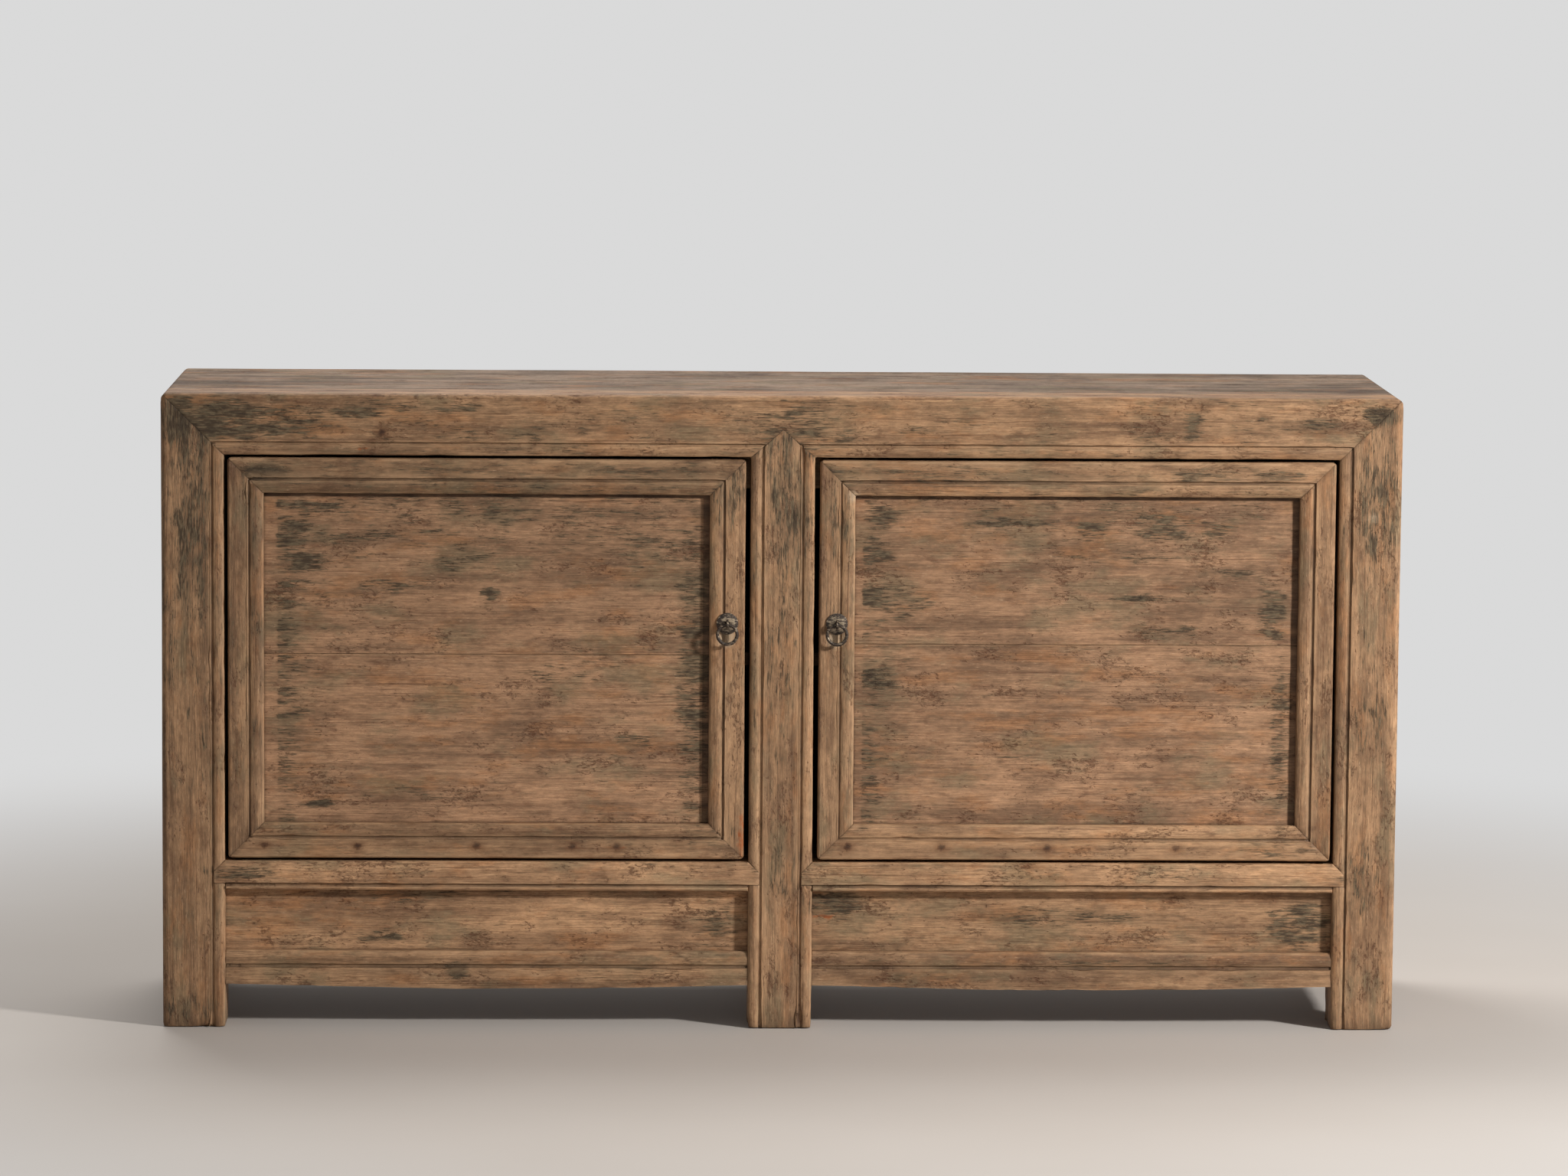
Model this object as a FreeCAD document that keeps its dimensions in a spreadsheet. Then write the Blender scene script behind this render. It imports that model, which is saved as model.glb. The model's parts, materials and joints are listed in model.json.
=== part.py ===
import FreeCAD, Part

import collections
import math
import os
import types

import Sketcher

# A two-door sideboard of mortised and mitred wooden members, in millimetres.
# The origin is on the floor under the middle of the carcass. +X is right, +Y is back, +Z is up.

SIZES = {
    # Carcass
    "width": 1650,
    "depth": 405,
    "height": 852,
    "corner_radius": 9,
    "top_edge_radius": 7,
    # Posts
    "post_width": 84,
    "post_depth": 72,
    "centre_post_width": 86,
    "back_post_width": 70,
    "back_post_depth": 60,
    "back_centre_width": 60,
    # Top frame
    "top_rail_height": 83,
    "gable_rise": 37,
    "gable_depth": 22,
    "top_board_thickness": 26,
    "front_board_width": 158,
    "board_tongue": 8,
    "side_rail_height": 52,
    "side_rail_width": 44,
    "side_setback": 6,
    "back_rail_depth": 48,
    "top_batten_height": 36,
    "top_batten_width": 50,
    # Bead along the frame's inner edges
    "bead_width": 15,
    "bead_drop": 1,
    "bead_crown": 0.3,
    "bead_fall": 3.5,
    "quirk_width": 3,
    "quirk_depth": 2.4,
    # Sills under the doors
    "sill_level": 226,
    "sill_height": 40,
    "sill_bead": 6,
    "sill_arris": 3,
    "lap_depth": 6,
    "centre_sill_width": 60,
    "floor_thickness": 18,
    "floor_rebate": 18,
    # Apron
    "apron_level": 58,
    "apron_bow": 6,
    "apron_rail_height": 46,
    "apron_rail_depth": 30,
    "apron_rail_setback": 4,
    "apron_rail_bead": 19,
    "apron_panel_setback": 16,
    "apron_panel_thickness": 13,
    "side_apron_thickness": 16,
    "side_apron_band": 8,
    # Side and back panels, shelf
    "side_panel_setback": 14,
    "side_panel_thickness": 12,
    "back_board_setback": 6,
    "back_board_thickness": 14,
    "back_seam_level": 500,
    "shelf_level": 500,
    "shelf_thickness": 18,
    "bearer_height": 30,
    "bearer_width": 28,
    "stop_block_height": 44,
    "stop_block_width": 18,
    "stop_block_depth": 16,
    # Doors
    "door_inset": 2,
    "door_thickness": 28,
    "hinge_gap": 4,
    "lock_gap": 6,
    "top_gap": 3,
    "sill_gap": 3,
    "frame_width": 48,
    "frame_arris": 4,
    "frame_band": 18,
    "frame_mitre_depth": 5,
    "panel_recess": 12,
    "panel_thickness": 10,
    "panel_housing": 8,
    "left_seam_level": 503,
    "right_seam_level": 519,
    "seam_tongue": 5,
    "seam_tongue_thickness": 4,
    "batten_width": 38,
    "batten_dovetail": 30,
    "batten_flare": 3,
    "batten_housing": 4,
    # Door pivots
    "pivot_radius": 7,
    "pivot_inset": 15,
    "pivot_setback": 13,
    "top_pivot_length": 20,
    "foot_pivot_length": 12,
    # Ring pulls
    "pull_level": 547,
    "plate_radius": 14.5,
    "plate_edge": 1.2,
    "plate_height": 3,
    "staple_wire": 1.6,
    "staple_eye": 4.8,
    "staple_neck": 3,
    "staple_prong": 14,
    "ring_radius": 13,
    "ring_wire": 2.3,
    # Joints
    "tenon_length": 30,
    "stub_length": 22,
    "tenon_thickness": 16,
    "shoulder": 8,
    "tenon_cover": 14,
    "housing": 6,
    # Clearances
    "tenon_clearance": 0.2,
    "end_clearance": 1,
    "panel_clearance": 0.25,
    "mitre_gap": 0.4,
    "board_gap": 0.6,
    "pivot_clearance": 0.3,
    "stop_clearance": 0.4,
    "pull_clearance": 0.3,
    "overcut": 2,
}

Via = collections.namedtuple("Via", "through end")
doc = FreeCAD.newDocument("Sideboard")


class Size:
    """A length that carries both its value and the sheet expression that gives it."""

    def __init__(self, value, text):
        self.value = value
        self.text = text

    def __neg__(self):
        return Size(-self.value, f"(-{self.text})")

    def __add__(self, other):
        other = as_size(other)
        return Size(self.value + other.value, f"({self.text} + {other.text})")

    def __sub__(self, other):
        other = as_size(other)
        return Size(self.value - other.value, f"({self.text} - {other.text})")

    def __mul__(self, other):
        other = as_size(other)
        return Size(self.value * other.value, f"({self.text} * {other.text})")

    def __truediv__(self, other):
        other = as_size(other)
        return Size(self.value / other.value, f"({self.text} / {other.text})")


def as_size(number):
    if isinstance(number, Size):
        return number
    return Size(float(number), f"{float(number)}")


def root(size):
    return Size(math.sqrt(size.value), f"sqrt({size.text})")


def make_sheet():
    sheet = doc.addObject("Spreadsheet::Sheet", "Sizes")
    for row, (alias, number) in enumerate(SIZES.items(), 1):
        sheet.set(f"A{row}", alias)
        sheet.set(f"B{row}", str(number))
        sheet.setAlias(f"B{row}", alias)
    doc.recompute()
    return types.SimpleNamespace(
        **{alias: Size(float(sheet.get(alias)), f"Sizes.{alias}") for alias in SIZES}
    )


size = make_sheet()
zero = as_size(0)


# Solids bound to the sheet


def bind(thing, **sizes):
    for name, value in sizes.items():
        thing.setExpression(name, as_size(value).text)


def place(thing, x=None, y=None, z=None):
    for axis, value in (("x", x), ("y", y), ("z", z)):
        if value is not None:
            thing.setExpression(f"Placement.Base.{axis}", as_size(value).text)


def block(name, x, y, z):
    """A box between two limits on each axis."""
    box = doc.addObject("Part::Box", name)
    bind(box, Length=x[1] - x[0], Width=y[1] - y[0], Height=z[1] - z[0])
    place(box, x[0], y[0], z[0])
    return box


def vector(point):
    return FreeCAD.Vector(as_size(point[0]).value, as_size(point[1]).value, 0)


def pin_point(sketch, geometry, position, point):
    """Dimensions one point of a sketch from its origin, by the sheet."""
    for kind, value in (("DistanceX", as_size(point[0])), ("DistanceY", as_size(point[1]))):
        index = sketch.addConstraint(Sketcher.Constraint(kind, geometry, position, value.value))
        sketch.setExpression(f"Constraints[{index}]", value.text)


def draw(sketch, outline, closed=True):
    """Draws lines, and arcs given as Via(through, end), and dimensions every corner."""
    corners = [step.end if isinstance(step, Via) else step for step in outline]
    steps = outline[1:] + outline[:1] if closed else outline[1:]
    ends = []
    for start, step in zip(corners, steps):
        if isinstance(step, Via):
            arc = Part.Arc(vector(start), vector(step.through), vector(step.end))
            geometry = sketch.addGeometry(arc)
            through = sketch.addGeometry(Part.Point(vector(step.through)), True)
            sketch.addConstraint(Sketcher.Constraint("PointOnObject", through, 1, geometry))
            pin_point(sketch, through, 1, step.through)
            turned = sketch.getPoint(geometry, 1).distanceToPoint(vector(start)) > 1e-6
        else:
            geometry = sketch.addGeometry(Part.LineSegment(vector(start), vector(step)))
            turned = False
        first, last = (2, 1) if turned else (1, 2)
        pin_point(sketch, geometry, first, start)
        ends.append((geometry, first, last))
    followers = ends[1:] + ends[:1] if closed else ends[1:]
    for (before, _, last), (after, first, _) in zip(ends, followers):
        sketch.addConstraint(Sketcher.Constraint("Coincident", before, last, after, first))
    if not closed:
        pin_point(sketch, ends[-1][0], ends[-1][2], corners[-1])


def new_sketch(body, name, plane):
    sketch = body.newObject("Sketcher::SketchObject", name)
    support = [part for part in body.Origin.OriginFeatures if part.Role == plane][0]
    sketch.AttachmentSupport = (support, [""])
    sketch.MapMode = "FlatFace"
    return sketch


PLANES = {"x": "YZ_Plane", "y": "XZ_Plane", "z": "XY_Plane"}


def prism(name, axis, outline, span):
    """An outline in the plane across an axis, padded between two limits on that axis."""
    body = doc.addObject("PartDesign::Body", name)
    sketch = new_sketch(body, f"{name}_outline", PLANES[axis])
    draw(sketch, outline)
    pad = body.newObject("PartDesign::Pad", f"{name}_pad")
    pad.Profile = sketch
    pad.Reversed = axis == "y"
    bind(pad, Length=span[1] - span[0])
    place(body, **{axis: span[0]})
    return body


def peg(name, radius, x, y, z):
    """An upright cylinder between two heights."""
    cylinder = doc.addObject("Part::Cylinder", name)
    bind(cylinder, Radius=radius, Height=z[1] - z[0])
    place(cylinder, x, y, z[0])
    return cylinder


def mirrored(thing, name):
    twin = doc.addObject("Part::Mirroring", name)
    twin.Source = thing
    twin.Normal = FreeCAD.Vector(1, 0, 0)
    return twin


def common(name, things):
    overlap = doc.addObject("Part::MultiCommon", name)
    overlap.Shapes = things
    return overlap


def grown(span, margin):
    return (span[0] - margin, span[1] + margin)


def across(middle, width):
    return (middle - width / 2, middle + width / 2)


def flipped(span):
    return (-span[1], -span[0])


# Pieces, and the joints that add to one piece and cut its neighbour

Piece = collections.namedtuple("Piece", "base twin turned")
pieces = {}
additions = collections.defaultdict(list)
cuts = collections.defaultdict(list)


def piece(label, base, twin=None, turned=False):
    """A piece, its mirrored twin's label, and whether only its mirror image is used."""
    pieces[label] = Piece(base, twin, turned)


def trimmed(name, base, tools):
    for number, tool in enumerate(tools):
        cut = doc.addObject("Part::Cut", f"{name}_trim_{number}")
        cut.Base = base
        cut.Tool = tool
        base = cut
    return base


def compound(name, things):
    group = doc.addObject("Part::Compound", name)
    group.Links = things
    return group


def house(part, neighbours, x, y, z, both_sides=()):
    """Cuts the seat of a solid with these limits out of its neighbours."""
    for neighbour in neighbours:
        cuts[neighbour].append(block(f"{part}_seat_in_{neighbour}", x, y, z))
    for neighbour in both_sides:
        cuts[neighbour].append(block(f"{part}_twin_seat_in_{neighbour}", flipped(x), y, z))


def tenon(part, neighbour, x, y, z, along, centre=None):
    """A tenon on one piece and its mortise in the neighbour, with room at its sides and end."""
    additions[part].append(block(f"{part}_tenon_in_{neighbour}", x, y, z))
    if centre == part:
        additions[part].append(block(f"{part}_twin_tenon_in_{neighbour}", flipped(x), y, z))
    room = {
        axis: grown(span, size.end_clearance if axis == along else size.tenon_clearance)
        for axis, span in (("x", x), ("y", y), ("z", z))
    }
    house(part, [neighbour], both_sides=[neighbour] if centre == neighbour else [], **room)


def assembled(label):
    """One piece: its base with its tenons added and its mortises cut."""
    base = pieces[label].base
    if additions[label]:
        joined = doc.addObject("Part::MultiFuse", f"{label}_joined")
        joined.Shapes = [base] + additions[label]
        joined.Refine = True
        base = joined
    return trimmed(label, base, cuts[label])


# Levels and planes that many pieces share

left = -size.width / 2
right = size.width / 2
front = -size.depth / 2
back = size.depth / 2
opening = left + size.post_width
centre_edge = -size.centre_post_width / 2
front_inside = front + size.post_depth
back_inside = back - size.back_post_depth
rail_under = size.height - size.top_rail_height
board_under = size.height - size.top_board_thickness
side_rail_under = board_under - size.side_rail_height
sill_under = size.sill_level - size.sill_height
apron_top = size.apron_level + size.apron_rail_height
back_post_edge = left + size.back_post_width
back_centre_edge = -size.back_centre_width / 2
tenon_middle = front + size.post_depth / 2
cross_span = (front_inside, back_inside)

# Planes of the back, the sides, the doors and the pulls

back_rail_front = back - size.back_rail_depth
back_tenon_middle = back - size.back_rail_depth / 2
side_face = left + size.side_setback
panel_inside = left + size.side_panel_setback + size.side_panel_thickness + size.board_gap
floor_under = size.sill_level - size.floor_thickness
door_left = opening + size.hinge_gap
door_right = centre_edge - size.lock_gap
door_top = rail_under - size.top_gap
door_bottom = size.sill_level + size.sill_gap
door_face = front + size.door_inset
door_back = door_face + size.door_thickness
pull_x = door_right - size.frame_width / 2
staple_leg = size.staple_wire + size.pull_clearance / 2
staple_bore = staple_leg + size.staple_wire + size.pull_clearance
neck_run = root(
    (size.staple_eye + size.staple_neck) * (size.staple_eye + size.staple_neck)
    - (staple_leg + size.staple_neck) * (staple_leg + size.staple_neck)
)
eye_out = -size.plate_height - neck_run


def bead(edge, inward, width):
    """Points (along the face, behind it) of a quirk and bead, from the face to the edge."""
    start = edge + (width + size.quirk_width) * inward
    inner = edge + width * inward
    trough = edge + (width + size.quirk_width / 2) * inward
    crown = edge + width / 2 * inward
    return [
        (start, zero),
        Via((trough, size.quirk_depth), (inner, size.bead_drop)),
        Via((crown, size.bead_crown), (edge, size.bead_fall)),
    ]


def mapped(outline, to_plane):
    """The same outline with each point moved into a sketch's own plane."""
    return [
        Via(to_plane(*step.through), to_plane(*step.end)) if isinstance(step, Via) else to_plane(*step)
        for step in outline
    ]


def behind_front(along, behind):
    return (along, front + behind)


def stood_on_edge(along, behind):
    return (front + behind, along)


def behind_side(along, behind):
    return (side_face + behind, along)


def carcass_envelope():
    """The outer block whose rounded edges all the outer members share."""
    corner = size.corner_radius
    bulge = corner * (1 - math.sqrt(0.5))
    body = doc.addObject("PartDesign::Body", "envelope")
    sketch = new_sketch(body, "envelope_outline", "XY_Plane")
    draw(sketch, [
        Via((left + bulge, front + bulge), (left + corner, front)),
        (right - corner, front),
        Via((right - bulge, front + bulge), (right, front + corner)),
        (right, back - corner),
        Via((right - bulge, back - bulge), (right - corner, back)),
        (left + corner, back),
        Via((left + bulge, back - bulge), (left, back - corner)),
        (left, front + corner),
    ])
    pad = body.newObject("PartDesign::Pad", "envelope_pad")
    pad.Profile = sketch
    bind(pad, Length=size.height)
    doc.recompute()
    rim = [
        f"Edge{number}"
        for number, edge in enumerate(pad.Shape.Edges, 1)
        if min(vertex.Z for vertex in edge.Vertexes) > size.height.value - 1e-6
    ]
    fillet = body.newObject("PartDesign::Fillet", "envelope_rim")
    fillet.Base = (pad, rim)
    bind(fillet, Radius=size.top_edge_radius)
    return body


# Carcass frame


def front_corner_post(envelope):
    label = "front_left_post"
    outline = [behind_front(left, zero)]
    outline += mapped(bead(opening, -1, size.bead_width), behind_front)
    outline += [(opening, front_inside), (left, front_inside)]
    bar = prism(f"{label}_bar", "z", outline, (zero, size.height))
    over = size.overcut
    mitre_top = size.height - size.mitre_gap
    mitre_foot = rail_under - size.mitre_gap
    waste = prism(f"{label}_mitre", "y", [
        (left - over, mitre_top),
        (left, mitre_top),
        (opening, mitre_foot),
        (opening + over, mitre_foot),
        (opening + over, size.height + over),
        (left - over, size.height + over),
    ], grown((front, front_inside), over))
    rounded = common(f"{label}_rounded", [bar, envelope])
    piece(label, trimmed(f"{label}_mitred", rounded, [waste]), twin="front_right_post")
    tenon(
        label, "front_top_rail",
        x=grown((left, opening), -size.stub_length),
        y=across(tenon_middle, size.tenon_thickness),
        z=(rail_under - size.tenon_length, size.height - size.tenon_cover),
        along="z", centre="front_top_rail",
    )


def gable(gap):
    """The pointed top of the centre post, or with a gap its notch in the top rail."""
    foot = rail_under - size.overcut
    edge = centre_edge - gap
    return [
        (edge, foot),
        (edge, rail_under),
        (zero, rail_under + size.gable_rise + gap),
        (-edge, rail_under),
        (-edge, foot),
    ]


def front_centre_post():
    label = "front_centre_post"
    over = size.overcut
    half_bead = mapped(bead(centre_edge, 1, size.bead_width), behind_front)
    other_bead = mapped(bead(-centre_edge, -1, size.bead_width), behind_front)
    quirk, edge = half_bead[1], half_bead[2]
    outline = [
        (centre_edge, front_inside),
        edge.end,
        Via(edge.through, quirk.end),
        Via(quirk.through, half_bead[0]),
    ] + other_bead + [(-centre_edge, front_inside)]
    peak = rail_under + size.gable_rise
    bar = prism(f"{label}_bar", "z", outline, (zero, peak))
    gable_back = front + size.gable_depth
    shoulder = block(
        f"{label}_shoulder",
        grown((centre_edge, -centre_edge), over),
        (gable_back, front_inside + over),
        (rail_under, peak + over),
    )
    slope = prism(f"{label}_slope", "y", [
        (centre_edge - over, rail_under),
        (centre_edge, rail_under),
        (zero, peak),
        (zero, peak + over),
        (centre_edge - over, peak + over),
    ], (front - over, gable_back + over))
    other_slope = mirrored(slope, f"{label}_other_slope")
    piece(label, trimmed(f"{label}_pointed", bar, [shoulder, slope, other_slope]))
    tenon_front = gable_back + size.shoulder / 2
    tenon(
        label, "front_top_rail",
        x=across(zero, size.tenon_length),
        y=(tenon_front, tenon_front + size.tenon_thickness),
        z=(rail_under, rail_under + size.tenon_length),
        along="z",
    )


def back_posts(envelope):
    corner = block("back_left_post_bar", (left, back_post_edge), (back_inside, back), (zero, board_under))
    piece("back_left_post", common("back_left_post_rounded", [corner, envelope]), twin="back_right_post")
    label = "back_centre_post"
    limits = (back_centre_edge, -back_centre_edge)
    piece(label, block(f"{label}_bar", limits, (back_rail_front, back), (zero, side_rail_under)))
    tenon(
        label, "back_top_rail",
        x=across(zero, size.tenon_length),
        y=across(back_tenon_middle, size.tenon_thickness),
        z=(side_rail_under, side_rail_under + size.tenon_length),
        along="z",
    )


def front_top_rail(envelope):
    label = "front_top_rail"
    over = size.overcut
    outline = [(front, size.height)]
    outline += mapped(bead(rail_under, 1, size.bead_width), stood_on_edge)
    outline += [(front_inside, rail_under), (front_inside, size.height)]
    bar = prism(f"{label}_bar", "x", outline, (left, right))
    mitre = prism(f"{label}_mitre", "y", [
        (left - over, size.height),
        (left, size.height),
        (opening, rail_under),
        (opening, rail_under - over),
        (left - over, rail_under - over),
    ], grown((front, front_inside), over))
    other_mitre = mirrored(mitre, f"{label}_other_mitre")
    notch_depth = front + size.gable_depth + size.tenon_clearance
    notch = prism(f"{label}_notch", "y", gable(size.mitre_gap), (front - over, notch_depth))
    rounded = common(f"{label}_rounded", [bar, envelope])
    piece(label, trimmed(f"{label}_mitred", rounded, [mitre, other_mitre, notch]))


def back_top_rail():
    label = "back_top_rail"
    limits = (back_post_edge, -back_post_edge)
    piece(label, block(f"{label}_bar", limits, (back_rail_front, back), (side_rail_under, board_under)))
    tenon(
        label, "back_left_post",
        x=(back_post_edge - size.tenon_length, back_post_edge),
        y=across(back_tenon_middle, size.tenon_thickness),
        z=grown((side_rail_under, board_under), -size.shoulder),
        along="x", centre=label,
    )


def side_top_rail():
    label = "left_top_rail"
    inner = side_face + size.side_rail_width
    outline = [(side_face, board_under)]
    outline += mapped(bead(side_rail_under, 1, size.bead_width), behind_side)
    outline += [(inner, side_rail_under), (inner, board_under)]
    piece(label, prism(f"{label}_bar", "y", outline, cross_span), twin="right_top_rail")
    side_tenons(label, side_face + size.side_rail_width / 2, (
        side_rail_under + size.shoulder, board_under - size.shoulder * 2,
    ))


def side_tenons(label, middle, height):
    """Stub tenons of a left side member into the front and back corner posts."""
    width = across(middle, size.tenon_thickness)
    stub = size.stub_length
    tenon(label, "front_left_post", width, (front_inside - stub, front_inside), height, along="y")
    tenon(label, "back_left_post", width, (back_inside, back_inside + stub), height, along="y")


def cross_tenons(label, front_post, back_post, height):
    """Stub tenons of a middle cross member into its front and back neighbours."""
    width = across(zero, size.tenon_thickness)
    front_stub = (front_inside - size.stub_length, front_inside)
    back_stub = (back_rail_front, back_rail_front + size.stub_length / 2)
    tenon(label, front_post, width, front_stub, height, along="y")
    tenon(label, back_post, width, back_stub, height, along="y")


def top_boards(envelope):
    seam = front_inside + size.front_board_width
    depths = {"front_top_board": (front_inside, seam), "rear_top_board": (seam + size.board_gap, back)}
    for label, depth in depths.items():
        board = block(f"{label}_plank", (left, right), depth, (board_under, size.height))
        piece(label, common(f"{label}_rounded", [board, envelope]))
    tenon(
        "front_top_board", "front_top_rail",
        x=(opening, -opening),
        y=(front_inside - size.board_tongue, front_inside),
        z=across(size.height - size.top_board_thickness / 2, size.board_tongue),
        along="y",
    )
    label = "top_batten"
    height = (board_under - size.top_batten_height, board_under)
    middle = across(zero, size.top_batten_width)
    piece(label, block(f"{label}_bar", middle, (front_inside, back_rail_front), height))
    cross_tenons(label, "front_top_rail", "back_top_rail", grown(height, -size.shoulder))


# Sills and floor


def sill_lap(edge, outward, gap):
    """The mitred ear of a sill that runs over a post's bead, or with a gap its seat."""
    tip = edge + (size.bead_width + gap) * outward
    heel = edge - size.overcut * outward
    foot = sill_under + size.sill_bead + size.quirk_width - gap
    level = size.sill_level
    return [
        (heel, level + gap),
        (edge, level + gap),
        (tip, level - size.bead_width),
        (tip, foot),
        (heel, foot),
    ]


def front_sill():
    label = "front_left_sill"
    arris = size.sill_arris
    bulge = arris * (1 - math.sqrt(0.5))
    level = size.sill_level
    outline = [
        (front_inside, level),
        (front + arris, level),
        Via((front + bulge, level - bulge), (front, level - arris)),
    ]
    outline += mapped(bead(sill_under, 1, size.sill_bead), stood_on_edge)
    outline += [(front_inside, sill_under)]
    piece(label, prism(f"{label}_bar", "x", outline, (opening, centre_edge)), twin="front_right_sill")
    tenon_height = grown((sill_under, level), -size.shoulder)
    ends = {
        "front_left_post": (opening, -1, (opening - size.tenon_length, opening)),
        "front_centre_post": (centre_edge, 1, (centre_edge, centre_edge + size.tenon_length)),
    }
    for post, (edge, outward, length) in ends.items():
        ear_back = front + size.lap_depth
        ear = prism(f"{label}_ear_on_{post}", "y", sill_lap(edge, outward, zero), (front, ear_back))
        additions[label].append(ear)
        seat_depth = (front - size.overcut, ear_back + size.tenon_clearance)
        seat_outline = sill_lap(edge, outward, size.mitre_gap)
        seat = prism(f"{label}_ear_seat_in_{post}", "y", seat_outline, seat_depth)
        cuts[post].append(seat)
        if post == "front_centre_post":
            cuts[post].append(mirrored(seat, f"{label}_twin_ear_seat"))
        width = across(tenon_middle, size.tenon_thickness)
        tenon(label, post, length, width, tenon_height, along="x", centre="front_centre_post")


def back_sill():
    label = "back_left_sill"
    height = (sill_under, size.sill_level)
    limits = (back_post_edge, back_centre_edge)
    piece(label, block(f"{label}_bar", limits, (back_inside, back), height), twin="back_right_sill")
    stub = size.stub_length
    width = across(back_tenon_middle, size.tenon_thickness)
    inside = grown(height, -size.shoulder)
    tenon(label, "back_left_post", (back_post_edge - stub, back_post_edge), width, inside, along="x")
    tenon(
        label, "back_centre_post", (back_centre_edge, back_centre_edge + stub), width, inside,
        along="x", centre="back_centre_post",
    )


def side_and_centre_sills():
    label = "left_sill"
    inner = side_face + size.side_rail_width
    rebate = inner - size.floor_rebate
    outline = [(side_face, size.sill_level)]
    outline += mapped(bead(sill_under, 1, size.sill_bead), behind_side)
    outline += [(inner, sill_under), (inner, floor_under), (rebate, floor_under), (rebate, size.sill_level)]
    piece(label, prism(f"{label}_bar", "y", outline, cross_span), twin="right_sill")
    side_tenons(label, side_face + size.side_rail_width / 2, (sill_under + size.shoulder, floor_under))
    label = "centre_sill"
    height = (sill_under, floor_under)
    middle = across(zero, size.centre_sill_width)
    piece(label, block(f"{label}_bar", middle, (front_inside, back_rail_front), height))
    cross_tenons(label, "front_centre_post", "back_centre_post", grown(height, -size.shoulder / 2))


def board_pair(label, x, z):
    """Two boards side by side over the depth of the inside."""
    depth = grown(cross_span, -size.board_gap)
    seam = across((front_inside + back_inside) / 2, size.board_gap)
    return compound(f"{label}_boards", [
        block(f"{label}_front_board", x, (depth[0], seam[0]), z),
        block(f"{label}_rear_board", x, (seam[1], depth[1]), z),
    ])


def floor_and_shelf():
    floor_edge = side_face + size.side_rail_width - size.floor_rebate + size.board_gap
    floor = board_pair("left_floor", (floor_edge, -size.board_gap / 2), (floor_under, size.sill_level))
    piece("left_floor_boards", floor, twin="right_floor_boards")
    shelf_under = size.shelf_level - size.shelf_thickness
    shelf = board_pair("shelf", (panel_inside, -panel_inside), (shelf_under, size.shelf_level))
    piece("shelf_boards", shelf)
    height = (shelf_under - size.bearer_height, shelf_under)
    inside = grown(height, -size.shoulder)
    label = "left_shelf_bearer"
    edge = panel_inside + size.bearer_width
    piece(label, block(f"{label}_bar", (panel_inside, edge), cross_span, height), twin="right_shelf_bearer")
    side_tenons(label, panel_inside + size.bearer_width / 2, inside)
    label = "centre_shelf_bearer"
    middle = across(zero, size.bearer_width)
    piece(label, block(f"{label}_bar", middle, (front_inside, back_rail_front), height))
    cross_tenons(label, "front_centre_post", "back_centre_post", inside)


# Aprons and panels


def panel(label, neighbours, x, y, z, thin, twin, both_sides=()):
    """A loose board held in grooves, thin along one axis."""
    piece(label, block(f"{label}_plank", x, y, z), twin=twin)
    room = {
        axis: grown(span, size.panel_clearance if axis == thin else size.end_clearance)
        for axis, span in (("x", x), ("y", y), ("z", z))
    }
    house(label, neighbours, both_sides=both_sides, **room)


def front_apron():
    label = "front_left_apron_rail"
    over = size.overcut
    face = front + size.apron_rail_setback
    inner = face + size.apron_rail_depth
    foot = size.apron_level - size.apron_bow * 2
    outline = [(face, foot)]
    outline += mapped(
        bead(apron_top, -1, size.apron_rail_bead),
        lambda along, behind: (face + behind, along),
    )
    outline += [(inner, apron_top), (inner, foot)]
    bar = prism(f"{label}_bar", "x", outline, (opening, centre_edge))
    middle = (opening + centre_edge) / 2
    bow = prism(f"{label}_bow", "y", [
        (opening - over, size.apron_level),
        (opening, size.apron_level),
        Via((middle, size.apron_level - size.apron_bow), (centre_edge, size.apron_level)),
        (centre_edge + over, size.apron_level),
        (centre_edge + over, foot - over),
        (opening - over, foot - over),
    ], grown((face, inner), over))
    piece(label, trimmed(f"{label}_bowed", bar, [bow]), twin="front_right_apron_rail")
    width = across((face + inner) / 2, size.tenon_thickness)
    height = (size.apron_level + size.shoulder, apron_top - size.shoulder * 2)
    stub = size.stub_length
    tenon(label, "front_left_post", (opening - stub, opening), width, height, along="x")
    tenon(
        label, "front_centre_post", (centre_edge, centre_edge + stub), width, height,
        along="x", centre="front_centre_post",
    )
    panel_face = front + size.apron_panel_setback
    panel(
        "front_left_apron_panel",
        ["front_left_post", "front_centre_post", "front_left_sill", "front_left_apron_rail"],
        x=grown((opening, centre_edge), size.housing),
        y=(panel_face, panel_face + size.apron_panel_thickness),
        z=grown((apron_top, sill_under), size.housing),
        thin="y", twin="front_right_apron_panel", both_sides=["front_centre_post"],
    )


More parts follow.
